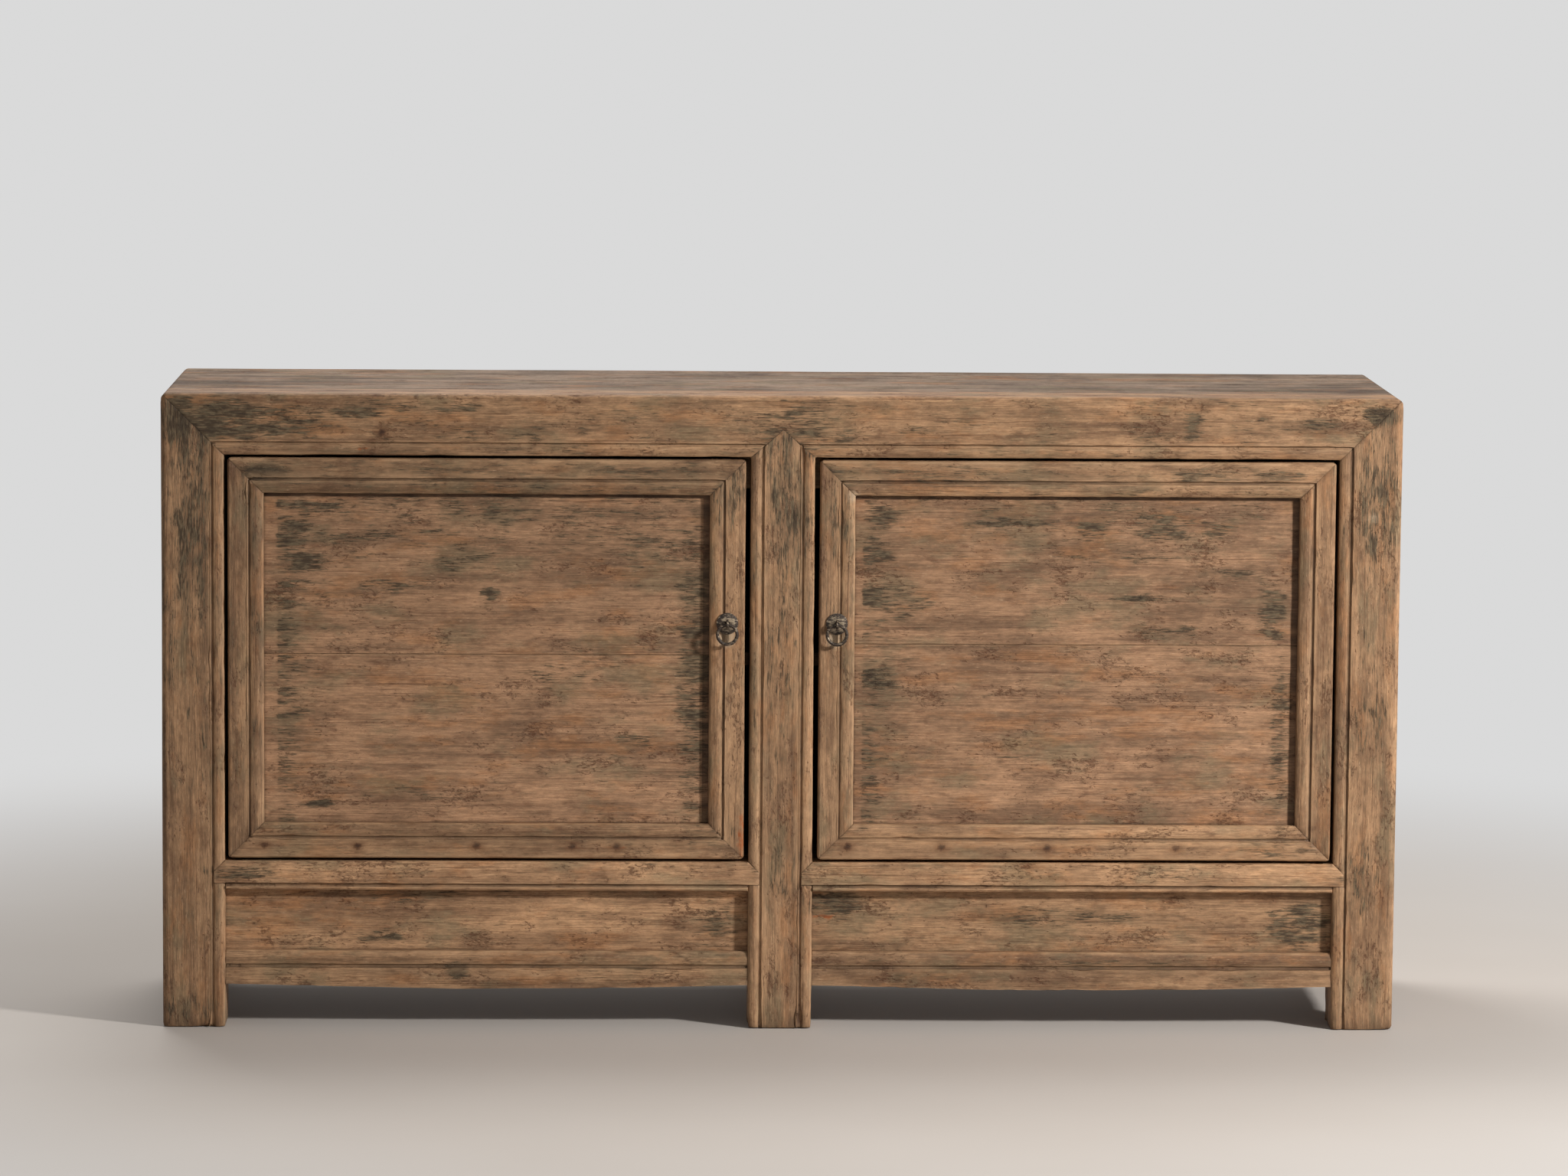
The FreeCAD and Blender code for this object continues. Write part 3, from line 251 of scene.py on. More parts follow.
# Where old lacquer is left on the front: x, z, half width, half height, and how much
LACQUER = {
    "left panel, upper veil": (-393, 720, 320, 120, 0.42),
    "left panel, left veil": (-660, 540, 80, 230, 0.34),
    "right panel, upper veil": (393, 720, 320, 110, 0.30),
    "right panel, left veil": (120, 540, 70, 230, 0.36),
    "top rail, left veil": (-600, 812, 250, 44, 0.34),
    "top rail, right veil": (560, 812, 280, 44, 0.24),
    "left post, veil": (-785, 600, 45, 330, 0.34),
    "left post, corner": (-800, 815, 30, 42, 1.20),
    "centre post, veil": (0, 560, 45, 280, 0.36),
    "right post, veil": (785, 620, 45, 250, 0.30),
    "top rail, left corner": (-742, 815, 62, 40, 1.10),
    "top rail, left": (-655, 815, 60, 30, 0.75),
    "top rail, left of middle": (-566, 826, 44, 15, 0.95),
    "top rail, upper edge": (-450, 835, 95, 9, 0.60),
    "top rail, before the middle": (-230, 815, 90, 30, 0.40),
    "top rail, above the centre post": (20, 808, 110, 48, 0.62),
    "top rail, right of middle": (220, 815, 90, 30, 0.35),
    "top rail, right": (545, 815, 18, 24, 0.90),
    "top rail, towards the right corner": (689, 815, 60, 12, 0.75),
    "top rail, right corner": (800, 828, 34, 18, 1.10),
    "left post, upper half": (-786, 690, 34, 190, 0.75),
    "left post, outer edge": (-815, 560, 14, 120, 0.55),
    "left post, lower half": (-780, 400, 30, 120, 0.30),
    "left post, foot": (-785, 25, 45, 25, 0.60),
    "centre post, upper half": (8, 700, 34, 110, 0.80),
    "centre post, middle": (5, 480, 30, 130, 0.45),
    "centre post, bead": (-34, 520, 8, 240, 0.40),
    "centre post, above the foot": (0, 215, 45, 40, 0.50),
    "right post, upper half": (795, 715, 34, 110, 0.75),
    "right post, middle": (785, 430, 30, 90, 0.50),
    "right post, beside the sill": (775, 205, 36, 60, 0.55),
    "left door, upper left corner": (-684, 749, 40, 16, 1.35),
    "left door, top rail": (-420, 748, 160, 14, 0.50),
    "left door, top rail end": (-180, 748, 110, 14, 0.60),
    "left door, upper right corner": (-72, 715, 26, 55, 0.75),
    "left door, hinge stile": (-710, 660, 18, 90, 0.40),
    "left door, lower right corner": (-75, 265, 40, 26, 0.45),
    "left panel, upper left": (-629, 700, 55, 13, 1.05),
    "left panel, upper edge": (-400, 694, 260, 18, 0.55),
    "left panel, first smear": (-652, 664, 30, 30, 0.95),
    "left panel, second smear": (-640, 625, 46, 20, 0.95),
    "left panel, long smear": (-580, 658, 75, 8, 0.75),
    "left panel, wide smear": (-520, 594, 70, 12, 0.70),
    "left panel, middle": (-440, 625, 52, 10, 0.90),
    "left panel, dark spot": (-389, 585, 18, 11, 1.60),
    "left panel, right smear": (-339, 690, 26, 15, 0.75),
    "left panel, right lower smear": (-285, 657, 26, 15, 0.75),
    "left panel, right upper edge": (-180, 650, 60, 60, 0.55),
    "left panel, left edge": (-660, 480, 24, 250, 0.62),
    "left panel, below the seam": (-270, 478, 90, 34, 0.45),
    "left panel, gouge": (-200, 388, 34, 9, 0.95),
    "left panel, lower left": (-616, 301, 26, 9, 1.15),
    "left panel, lower marks": (-480, 316, 120, 14, 0.40),
    "left panel, right edge": (-118, 480, 26, 270, 0.80),
    "right door, top rail": (200, 747, 130, 12, 0.65),
    "right door, top rail end": (560, 747, 55, 11, 0.85),
    "right door, upper right corner": (665, 747, 45, 11, 0.80),
    "right door, lock stile": (72, 690, 20, 70, 0.60),
    "right door, bottom rail end": (660, 245, 60, 20, 0.60),
    "right panel, upper left": (133, 690, 34, 15, 0.95),
    "right panel, left smear": (128, 640, 28, 24, 0.95),
    "right panel, lower left smear": (121, 585, 26, 22, 0.90),
    "right panel, smear beside the pull": (160, 577, 60, 11, 0.80),
    "right panel, below the seam": (126, 470, 36, 40, 0.80),
    "right panel, left edge": (115, 350, 22, 110, 0.65),
    "right panel, first upper smear": (318, 680, 80, 11, 0.80),
    "right panel, second upper smear": (415, 678, 34, 13, 0.95),
    "right panel, third upper smear": (508, 678, 48, 22, 0.85),
    "right panel, fourth upper smear": (583, 677, 32, 13, 0.90),
    "right panel, long smear": (453, 641, 130, 8, 0.65),
    "right panel, right smear": (598, 611, 55, 8, 0.85),
    "right panel, middle smear": (477, 584, 55, 9, 0.85),
    "right panel, low smear": (521, 535, 60, 10, 0.75),
    "right panel, scratches": (299, 364, 40, 6, 0.75),
    "right panel, upper edge": (400, 700, 280, 10, 0.45),
    "right panel, right edge": (655, 565, 26, 50, 0.90),
    "right panel, lower right edge": (668, 400, 18, 150, 0.70),
    "left sill, left end": (-722, 208, 60, 11, 0.95),
    "right sill": (520, 206, 60, 10, 0.55),
    "left apron panel": (-533, 124, 42, 12, 0.90),
    "left apron panel, upper edge": (-480, 178, 200, 9, 0.55),
    "left apron panel, right end": (-90, 140, 50, 45, 0.50),
    "left apron rail": (-431, 78, 16, 16, 1.40),
    "left apron rail, right half": (-250, 75, 120, 14, 0.40),
    "right apron panel, left end": (75, 168, 45, 22, 0.90),
    "right apron panel, middle": (390, 150, 150, 16, 0.60),
    "right apron panel, right end": (700, 142, 50, 40, 0.90),
    "right apron rail": (420, 85, 150, 12, 0.45),
}

# What lies further back than this, in metres, has no marks, and how a stain falls off from its middle
FRONT_DEPTH = -0.182
STAIN_FALL = 0.55


def srgb(red, green, blue):
    """A colour given as 0 to 255 values, as the linear one that a shader takes."""
    def linear(value):
        share = value / 255
        return share / 12.92 if share <= 0.04045 else ((share + 0.055) / 1.055) ** 2.4

    return (linear(red), linear(green), linear(blue), 1.0)


# A soft noise: the sizes of its patches in metres, how much finer noise it holds, and how strong that is
Texture = collections.namedtuple("Texture", "sizes detail roughness", defaults=(0.5,))

# A colour that goes from nothing to its share while its texture rises from low to high
Layer = collections.namedtuple("Layer", "texture low high share colour", defaults=(None,))

# A factor that goes from dark to light while its texture rises from low to high
Shade = collections.namedtuple("Shade", "texture low high dark light")

# A colour round a mark: its share inside one radius falls to nothing outside another, in metres
Ring = collections.namedtuple("Ring", "inside outside share colour")

# A wood: two tones, a stain, a share of the lacquer, the width of its bands in metres, and its roughness
WOOD_DEFAULTS = (1.0, 0.022, 0.58)
Wood = collections.namedtuple("Wood", "pale brown stain lacquer band roughness", defaults=WOOD_DEFAULTS)

# Streaks in the tone of a wood: their length in metres, their width in bands, and their share of the tone
Streak = collections.namedtuple("Streak", "length bands detail roughness share")


def streaks(length, width, detail, roughness=0.5):
    """A texture drawn out along the grain."""
    return Texture((length, width, width), detail, roughness)


def even(size, detail, roughness=0.5):
    """A texture with no direction."""
    return Texture((size, size, size), detail, roughness)


# The woods
WOODS = {
    "frame_wood": Wood(srgb(168, 131, 97), srgb(114, 86, 63), srgb(98, 67, 46)),
    "panel_wood": Wood(srgb(165, 127, 96), srgb(117, 89, 67), srgb(102, 70, 50)),
    "top_wood": Wood(srgb(140, 119, 101), srgb(82, 67, 56), srgb(76, 58, 46), 0.5, 0.055, 0.80),
    "inner_wood": Wood(srgb(150, 118, 88), srgb(120, 92, 68), srgb(104, 74, 52), 0.3),
}

# The wood's own tone and the sway of its grain
SWAY = Texture((0.35, 0.09, 0.09), 1.0)
SWAY_DEPTH = 0.014
BROAD_BANDS = Streak(0.50, 1, 4.0, 0.55, 0.28)
GROWTH_RINGS = Streak(0.24, 1 / 3, 4.0, 0.62, 0.22)
SOFT_CLOUDS = Streak(0.11, 2, 6.0, 0.66, 0.36)
BOARD_TONE = even(1.6, 0.0)
BOARD_SHARE = 0.14
TONE_RANGE = (0.41, 0.59)
WARM_BLUSH = Layer(streaks(0.10, 0.030, 6.0, 0.66), 0.50, 0.66, 0.44, srgb(156, 106, 66))
COOL_BLUSH = Layer(Texture((0.11, 0.032, 0.05), 6.0, 0.66), 0.50, 0.66, 0.54, srgb(112, 100, 76))
DARK_BLUSH = Layer(streaks(0.036, 0.014, 6.0, 0.72), 0.53, 0.68, 0.55)

# Fibres, cracks and flecks
GRAIN_LINES = Layer(streaks(0.20, 0.0016, 2.0), 0.60, 0.68, 0.60)
FIBRES = Shade(streaks(0.026, 0.0017, 4.0, 0.66), 0.28, 0.72, 0.80, 1.17)
MOTTLE = Shade(streaks(0.014, 0.0055, 5.0, 0.70), 0.32, 0.68, 0.83, 1.16)
GLINTS = Layer(streaks(0.011, 0.0023, 4.0, 0.70), 0.58, 0.74, 0.45, srgb(196, 164, 130))
CRACKED_PLACES = Layer(streaks(0.07, 0.035, 4.0, 0.6), 0.50, 0.66, 0.42, srgb(76, 54, 38))
VEINS = streaks(0.022, 0.0060, 4.0, 0.68)
VEIN_LEVEL = 0.5
VEIN_WIDTH = (0.004, 0.020)
FLECKS = Layer(streaks(0.0075, 0.0032, 4.0, 0.68), 1.06, 1.20, 0.62, srgb(86, 51, 32))
FLECKS_BY_CRACKS = 0.9

# Old lacquer and grime, by the level that patches, dashes and the stains on the front add up to
PATCHES = streaks(0.050, 0.014, 5.0, 0.64)
DASHES = streaks(0.022, 0.0019, 4.0, 0.68)
PATCH_SHARE = 0.85
DASH_SHARE = 0.95
STAIN_SHARE = 0.38
GRIME = Layer(None, 0.96, 1.24, 0.50, srgb(90, 76, 56))
LACQUER_FILM = Layer(None, 1.13, 1.22, 0.80)
LACQUER_HEART = Layer(None, 1.25, 1.38, 0.55, srgb(42, 34, 26))
LACQUER_TINT = Layer(streaks(0.012, 0.0035, 3.0), 0.40, 0.64, 1.0, srgb(104, 91, 70))
LACQUER_DARK = srgb(56, 45, 33)

# Rust, pegs, pale spots with one painted highlight, rubbed edges, and dirt with painted shade
RUST_BLOOM = Layer(Texture((0.014, 0.008, 0.008), 4.0, 0.65), 0.74, 0.96, 0.75, srgb(150, 76, 32))
RUST_SHARE = 0.42
MARK_UNEVEN = 0.010
PEG_EDGE = even(0.0055, 4.0, 0.66)
PEG_RINGS = (
    Ring(0.010, 0.021, 0.45, srgb(100, 66, 42)),
    Ring(0.0088, 0.0120, 0.80, srgb(82, 53, 35)),
    Ring(0.0064, 0.0096, 0.80, srgb(50, 31, 21)),
)
PALE_EDGE = even(0.006, 4.0, 0.66)
PALE_RINGS = (Ring(0.012, 0.021, 0.54, srgb(204, 182, 152)),)
RUBBED = Layer(Texture((0.05, 0.015, 0.015), 4.0), 0.36, 0.58, 0.54, srgb(186, 150, 114))
SETTLED_DIRT_AND_SHADE = Shade(streaks(0.06, 0.012, 4.0), 0.34, 0.62, 0.55, 0.95)
DIRT_AND_SHADE_COLOUR = srgb(44, 30, 21)

# The wood's surface
LACQUER_ROUGHER = 0.12
LACQUER_HEIGHT = 0.4
WOOD_SHINE = 0.22
WOOD_RELIEF = (0.7, 0.0010)

# Iron
IRON_PITS = Layer(even(0.0018, 4.0, 0.62), 0.38, 0.64, 1.0, srgb(66, 51, 39))
IRON_DARK = srgb(30, 23, 18)
IRON_WORN = Layer(Texture((0.005, 0.005, 0.0020), 4.0, 0.6), 0.50, 0.70, 0.85, srgb(164, 145, 120))
POLISH_REACH = (0.0085, 0.0120)
IRON_METALLIC = 0.35
IRON_SMOOTHING = (0.40, 0.68)
IRON_ROUGHNESS = (0.62, 0.40)
IRON_RELIEF = (0.6, 0.0006)

# The floor
PLASTER = even(0.5, 4.0)
PLASTER_DARK = srgb(184, 175, 166)
PLASTER_PALE = srgb(192, 184, 176)
PLASTER_ROUGHNESS = 0.7
WHITE = srgb(255, 255, 255)


class Tree:
    """Short calls for the nodes of a material or a world."""

    def __init__(self, owner):
        owner.use_nodes = True
        self.nodes = owner.node_tree.nodes
        self.links = owner.node_tree.links

    def add(self, kind, values=(), **settings):
        """A new node, with its inputs filled by numbers or linked to other sockets."""
        made = self.nodes.new(kind)
        for setting, value in settings.items():
            setattr(made, setting, value)
        for socket, value in dict(values).items():
            self.fill(made.inputs[socket], value)
        return made

    def fill(self, socket, value):
        """Links an input to another socket, or sets its value."""
        if isinstance(value, bpy.types.NodeSocket):
            self.links.new(value, socket)
        else:
            socket.default_value = value

    def math(self, operation, first, second=0.0):
        return self.add("ShaderNodeMath", {0: first, 1: second}, operation=operation).outputs[0]

    def vector(self, operation, first, second):
        return self.add("ShaderNodeVectorMath", {0: first, 1: second}, operation=operation).outputs[0]

    def length(self, vector):
        return self.add("ShaderNodeVectorMath", {0: vector}, operation="LENGTH").outputs["Value"]

    def ramp(self, value, low, high, bottom, top, kind="LINEAR"):
        """A rise from bottom to top while the value goes from low to high."""
        ranges = {0: value, 1: low, 2: high, 3: bottom, 4: top}
        return self.add("ShaderNodeMapRange", ranges, interpolation_type=kind).outputs[0]

    def step(self, value, low, high, bottom=0.0, top=1.0):
        """A soft rise from bottom to top while the value goes from low to high."""
        return self.ramp(value, low, high, bottom, top, "SMOOTHSTEP")

    def shown_directly(self):
        """A socket that is 1 for the camera and for reflections, and 0 for the light on the object."""
        path = self.add("ShaderNodeLightPath").outputs
        seen = self.math("MAXIMUM", path["Is Camera Ray"], path["Is Glossy Ray"])
        return self.math("MAXIMUM", seen, path["Is Transmission Ray"])


class Shader(Tree):
    """Short calls for the nodes of one material."""

    def __init__(self, name):
        self.material = bpy.data.materials.new(name)
        super().__init__(self.material)
        self.surface = self.nodes["Principled BSDF"]

    def give(self, name, value):
        """Sets or links an input of the surface."""
        self.fill(self.surface.inputs[name], value)

    def relief(self, strength, depth, height):
        """Fine relief of the surface."""
        bump = self.add("ShaderNodeBump", {"Strength": strength, "Distance": depth, "Height": height})
        self.give("Normal", bump.outputs[0])

    def attribute(self, name, output="Fac"):
        return self.add("ShaderNodeAttribute", attribute_name=name).outputs[output]

    def mix(self, share, first, second, blend="MIX"):
        sockets = {0: share, 6: first, 7: second}
        return self.add("ShaderNodeMix", sockets, data_type="RGBA", blend_type=blend).outputs[2]

    def noise(self, vector, texture):
        """The soft noise of a texture."""
        shares = tuple(1 / size for size in texture.sizes)
        values = {
            "Vector": self.vector("MULTIPLY", vector, shares),
            "Scale": 1.0,
            "Detail": texture.detail,
            "Roughness": texture.roughness,
        }
        return self.add("ShaderNodeTexNoise", values).outputs[0]

    def layered(self, level, below, layer, colour=None):
        """The colour below with a layer over it, as far as the level lets it show."""
        share = self.step(level, layer.low, layer.high, 0.0, layer.share)
        return self.mix(share, below, colour or layer.colour)

    def shaded(self, below, shade):
        """The colour below made lighter or darker by a factor."""
        grey = self.add("ShaderNodeCombineColor", {0: shade, 1: shade, 2: shade}).outputs[0]
        return self.mix(1.0, below, grey, blend="MULTIPLY")

    def factor(self, level, shade):
        """The factor of a shade at a level."""
        return self.step(level, shade.low, shade.high, shade.dark, shade.light)


def camera():
    """The photograph's camera."""
    flat = math.cos(PITCH)
    forward = Vector((math.sin(YAW) * flat, math.cos(YAW) * flat, -math.sin(PITCH)))
    right = Vector((math.cos(YAW), -math.sin(YAW), 0))
    up = right.cross(forward)
    rolled_right = right * math.cos(ROLL) + up * math.sin(ROLL)
    rolled_up = up * math.cos(ROLL) - right * math.sin(ROLL)
    data = bpy.data.cameras.new("camera")
    data.sensor_width = SENSOR_MM
    data.lens = FOCAL_PIXELS * SENSOR_MM / IMAGE_WIDTH
    data.clip_end = CLIP_END
    seen = bpy.data.objects.new("camera", data)
    turn = Matrix((rolled_right, rolled_up, -forward)).transposed()
    seen.matrix_world = Matrix.Translation(EYE) @ turn.to_4x4()
    bpy.context.scene.collection.objects.link(seen)
    bpy.context.scene.camera = seen


def lamp(name, distance, azimuth, elevation, size, watts):
    """A square lamp that looks at the middle of the object."""
    flat = math.cos(elevation)
    side = Vector((math.sin(azimuth) * flat, -math.cos(azimuth) * flat, math.sin(elevation)))
    data = bpy.data.lights.new(name, "AREA")
    data.shape = "SQUARE"
    data.size = size
    data.energy = watts
    made = bpy.data.objects.new(name, data)
    made.location = KEY_TARGET + side * distance
    made.rotation_mode = "QUATERNION"
    made.rotation_quaternion = (-side).to_track_quat("-Z", "Y")
    bpy.context.scene.collection.objects.link(made)


def room():
    """A pale room, brighter in front: its light on the object is softer than how pale it shows."""
    world = bpy.data.worlds.new("room")
    bpy.context.scene.world = world
    tree = Tree(world)
    direction = tree.add("ShaderNodeTexCoord").outputs["Generated"]
    parts = tree.add("ShaderNodeSeparateXYZ", {0: direction}).outputs
    fill = tree.ramp(parts["Y"], *FILL_SIDES, FILL_IN_FRONT, FILL_BEHIND)
    lift = tree.ramp(parts["Z"], *FILL_TURN, FILL_LOW, FILL_HIGH)
    lit = tree.math("MULTIPLY", fill, lift)
    background = tree.nodes["Background"].inputs
    tree.fill(background["Color"], WHITE)
    tree.fill(background["Strength"], tree.ramp(tree.shown_directly(), 0.0, 1.0, lit, ROOM_PALE))


def floor_material():
    """Pale plaster that turns into the even tone of the room far from the object."""
    shader = Shader("pale_floor")
    place = shader.add("ShaderNodeTexCoord").outputs["Object"]
    shader.give("Base Color", shader.mix(shader.noise(place, PLASTER), PLASTER_DARK, PLASTER_PALE))
    shader.give("Roughness", PLASTER_ROUGHNESS)
    glow = shader.add("ShaderNodeEmission", {"Color": WHITE, "Strength": ROOM_PALE}).outputs[0]
    far = shader.step(shader.length(place), FLOOR_NEAR, FLOOR_FAR)
    far = shader.math("MULTIPLY", far, shader.shown_directly())
    joined = shader.add("ShaderNodeMixShader", {0: far, 1: shader.surface.outputs[0], 2: glow}).outputs[0]
    shader.fill(shader.nodes["Material Output"].inputs["Surface"], joined)
    return shader.material


def floor():
    """A wide round floor at the feet."""
    disc = bmesh.new()
    bmesh.ops.create_circle(disc, cap_ends=True, radius=FLOOR_RADIUS, segments=FLOOR_SIDES)
    data = bpy.data.meshes.new("floor")
    disc.to_mesh(data)
    disc.free()
    data.materials.append(floor_material())
    made = bpy.data.objects.new("floor", data)
    bpy.context.scene.collection.objects.link(made)


def ground(shader, straight, grain, wood):
    """The wood's own colour: broad bands, growth rings, soft clouds, and warm, cool and dark blushes."""
    tone = shader.math("MULTIPLY", shader.noise(straight, BOARD_TONE), BOARD_SHARE)
    for row in (BROAD_BANDS, GROWTH_RINGS, SOFT_CLOUDS):
        texture = streaks(row.length, row.bands * wood.band, row.detail, row.roughness)
        tone = shader.math("ADD", tone, shader.math("MULTIPLY", shader.noise(grain, texture), row.share))
    colour = shader.mix(shader.step(tone, *TONE_RANGE), wood.pale, wood.brown)
    for layer in (WARM_BLUSH, COOL_BLUSH):
        colour = shader.layered(shader.noise(grain, layer.texture), colour, layer)
    return shader.layered(shader.noise(grain, DARK_BLUSH.texture), colour, DARK_BLUSH, wood.stain)


def fibres(shader, grain, colour, stain):
    """Long grain lines, light and dark fibres, fine cracks and dark flecks, and how high they stand."""
    colour = shader.layered(shader.noise(grain, GRAIN_LINES.texture), colour, GRAIN_LINES, stain)
    fibre = shader.noise(grain, FIBRES.texture)
    colour = shader.shaded(colour, shader.factor(fibre, FIBRES))
    colour = shader.shaded(colour, shader.factor(shader.noise(grain, MOTTLE.texture), MOTTLE))
    colour = shader.layered(shader.noise(grain, GLINTS.texture), colour, GLINTS)
    cracked = shader.noise(grain, CRACKED_PLACES.texture)
    vein = shader.math("SUBTRACT", shader.noise(grain, VEINS), VEIN_LEVEL)
    thin = shader.step(shader.math("ABSOLUTE", vein), *VEIN_WIDTH, 1.0, 0.0)
    share = shader.step(cracked, CRACKED_PLACES.low, CRACKED_PLACES.high, 0.0, CRACKED_PLACES.share)
    cracks = shader.math("MULTIPLY", thin, share)
    colour = shader.mix(cracks, colour, CRACKED_PLACES.colour)
    gathered = shader.math("MULTIPLY", cracked, FLECKS_BY_CRACKS)
    level = shader.math("ADD", shader.noise(grain, FLECKS.texture), gathered)
    flecks = shader.step(level, FLECKS.low, FLECKS.high)
    colour = shader.mix(shader.math("MULTIPLY", flecks, FLECKS.share), colour, FLECKS.colour)
    return colour, shader.math("SUBTRACT", shader.math("SUBTRACT", fibre, flecks), cracks)


def old_lacquer(shader, grain, colour, share):
    """Smears of old dark lacquer and grime that follow the grain in short broken dashes."""
    patch = shader.math("MULTIPLY", shader.noise(grain, PATCHES), PATCH_SHARE)
    dash = shader.math("MULTIPLY", shader.noise(grain, DASHES), DASH_SHARE)
    stain = shader.math("MULTIPLY", shader.attribute("lacquer"), STAIN_SHARE * share)
    level = shader.math("ADD", shader.math("ADD", patch, dash), stain)
    colour = shader.layered(level, colour, GRIME)
    tint = shader.layered(shader.noise(grain, LACQUER_TINT.texture), LACQUER_DARK, LACQUER_TINT)
    film = shader.step(level, LACQUER_FILM.low, LACQUER_FILM.high)
    colour = shader.mix(shader.math("MULTIPLY", film, LACQUER_FILM.share), colour, tint)
    return shader.layered(level, colour, LACQUER_HEART), film


def rust_stains(shader, straight, colour):
    """Orange stains beside old iron."""
    stain = shader.math("MULTIPLY", shader.attribute("rust"), RUST_SHARE)
    level = shader.math("ADD", shader.noise(straight, RUST_BLOOM.texture), stain)
    return shader.layered(level, colour, RUST_BLOOM)


def ringed(shader, colour, name, edge, rings):
    """Marks with uneven edges: the dark heads of pegs, or spots of pale wood, one of which is a painted
    highlight.
    """
    place = shader.attribute(name, "Vector")
    uneven = shader.math("MULTIPLY", shader.noise(place, edge), MARK_UNEVEN)
    reach = shader.math("ADD", shader.length(place), uneven)
    for ring in rings:
        share = shader.step(reach, ring.inside, ring.outside, ring.share, 0.0)
        colour = shader.mix(share, colour, ring.colour)
    return colour


def handled(shader, straight, grain, colour):
    """Edges rubbed pale, and dirt with painted shade: dirt in hollows, along seams and on feet, and
    painted shade in hollows and along the top and right edges of the door panels.
    """
    rub = shader.step(shader.noise(straight, RUBBED.texture), RUBBED.low, RUBBED.high)
    rubbed = shader.math("MULTIPLY", shader.attribute("wear"), rub)
    colour = shader.mix(shader.math("MULTIPLY", rubbed, RUBBED.share), colour, RUBBED.colour)
    settled = shader.factor(shader.noise(grain, SETTLED_DIRT_AND_SHADE.texture), SETTLED_DIRT_AND_SHADE)
    return shader.mix(shader.math("MULTIPLY", shader.attribute("dirt"), settled), colour, DIRT_AND_SHADE_COLOUR)


def old_wood(name, wood):
    """Old wood with fibres, flecks, stains and what is left of a dark lacquer."""
    shader = Shader(name)
    straight = shader.attribute("grain", "Vector")
    bend = shader.math("MULTIPLY", shader.noise(straight, SWAY), SWAY_DEPTH)
    grain = shader.vector("ADD", straight, shader.add("ShaderNodeCombineXYZ", {"Y": bend}).outputs[0])
    colour = shader.shaded(ground(shader, straight, grain, wood), shader.attribute("tone"))
    colour, height = fibres(shader, grain, colour, wood.stain)
    colour, lacquer = old_lacquer(shader, grain, colour, wood.lacquer)
    colour = rust_stains(shader, straight, colour)
    colour = ringed(shader, colour, "peg", PEG_EDGE, PEG_RINGS)
    colour = ringed(shader, colour, "pale", PALE_EDGE, PALE_RINGS)
    shader.give("Base Color", handled(shader, straight, grain, colour))
    rougher = wood.roughness + LACQUER_ROUGHER
    shader.give("Roughness", shader.step(lacquer, 0.0, 1.0, wood.roughness, rougher))
    shader.give("Specular IOR Level", WOOD_SHINE)
    height = shader.math("ADD", height, shader.math("MULTIPLY", lacquer, LACQUER_HEIGHT))
    shader.relief(*WOOD_RELIEF, height)
    return shader.material


def worn_iron(name, middle, polish):
    """Dark forged iron gone brown, with a paler worn middle and some polish by the ring."""
    shader = Shader(name)
    place = shader.add("ShaderNodeTexCoord").outputs["Object"]
    pits = shader.noise(place, IRON_PITS.texture)
    colour = shader.layered(pits, IRON_DARK, IRON_PITS)
    reach = shader.length(shader.vector("SUBTRACT", place, middle))
    polished = shader.step(reach, *POLISH_REACH, polish, 0.0)
    rubbed = shader.math("ADD", shader.noise(place, IRON_WORN.texture), polished)
    shader.give("Base Color", shader.layered(rubbed, colour, IRON_WORN))
    shader.give("Metallic", IRON_METALLIC)
    shader.give("Roughness", shader.step(rubbed, *IRON_SMOOTHING, *IRON_ROUGHNESS))
    shader.relief(*IRON_RELIEF, pits)
    return shader.material


def welded(node):
    """A node's own mesh with its split corners joined and its flat faces whole."""
    mesh = bmesh.new()
    mesh.from_mesh(frame["nodes"][node].data)
    bmesh.ops.remove_doubles(mesh, verts=mesh.verts[:], dist=WELD)
    bmesh.ops.dissolve_limit(mesh, angle_limit=FLAT, verts=mesh.verts[:], edges=mesh.edges[:])
    return mesh


def solid_numbers(mesh):
    """The number of the separate solid that each vertex belongs to, by its index."""
    mesh.verts.index_update()
    numbers = [None] * len(mesh.verts)
    count = 0
    for start in mesh.verts:
        if numbers[start.index] is not None:
            continue
        waiting = [start]
        numbers[start.index] = count
        while waiting:
            vert = waiting.pop()
            for edge in vert.link_edges:
                other = edge.other_vert(vert)
                if numbers[other.index] is None:
                    numbers[other.index] = count
                    waiting.append(other)
        count += 1
    return numbers


Solid = collections.namedtuple("Solid", "body slot low high tree edges")


def edge_axis(edge):
    """The axis that a long sharp edge runs along, if it is one."""
    if edge.calc_length() < LONG_EDGE or abs(edge.calc_face_angle_signed(0)) < SHARP:
        return None
    run = (edge.verts[1].co - edge.verts[0].co).normalized()
    axes = [axis for axis in range(3) if abs(run[axis]) > STRAIGHT]
    return axes[0] if axes else None


def separate_solids(node, mesh, slot):
    """The solids of a node, each with its box, a search tree of its faces, and its long sharp edges."""
    numbers = solid_numbers(mesh)
    points = [vert.co.copy() for vert in mesh.verts]
    found = []
    for number in range(max(numbers) + 1):
        own = [point for point, at in zip(points, numbers) if at == number]
        low = Vector([min(point[axis] for point in own) for axis in range(3)])
        high = Vector([max(point[axis] for point in own) for axis in range(3)])
        faces = [face for face in mesh.faces if numbers[face.verts[0].index] == number]
        tree = BVHTree.FromPolygons(points, [[vert.index for vert in face.verts] for face in faces])
        edges = [edge for edge in mesh.edges if numbers[edge.verts[0].index] == number]
        lines = [(edge_axis(edge), edge.verts[0].co.copy(), edge.verts[1].co.copy()) for edge in edges]
        lines = [line for line in lines if line[0] is not None]
        found.append(Solid(frame["nodes"][node]["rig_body"], slot, low, high, tree, lines))
    return found


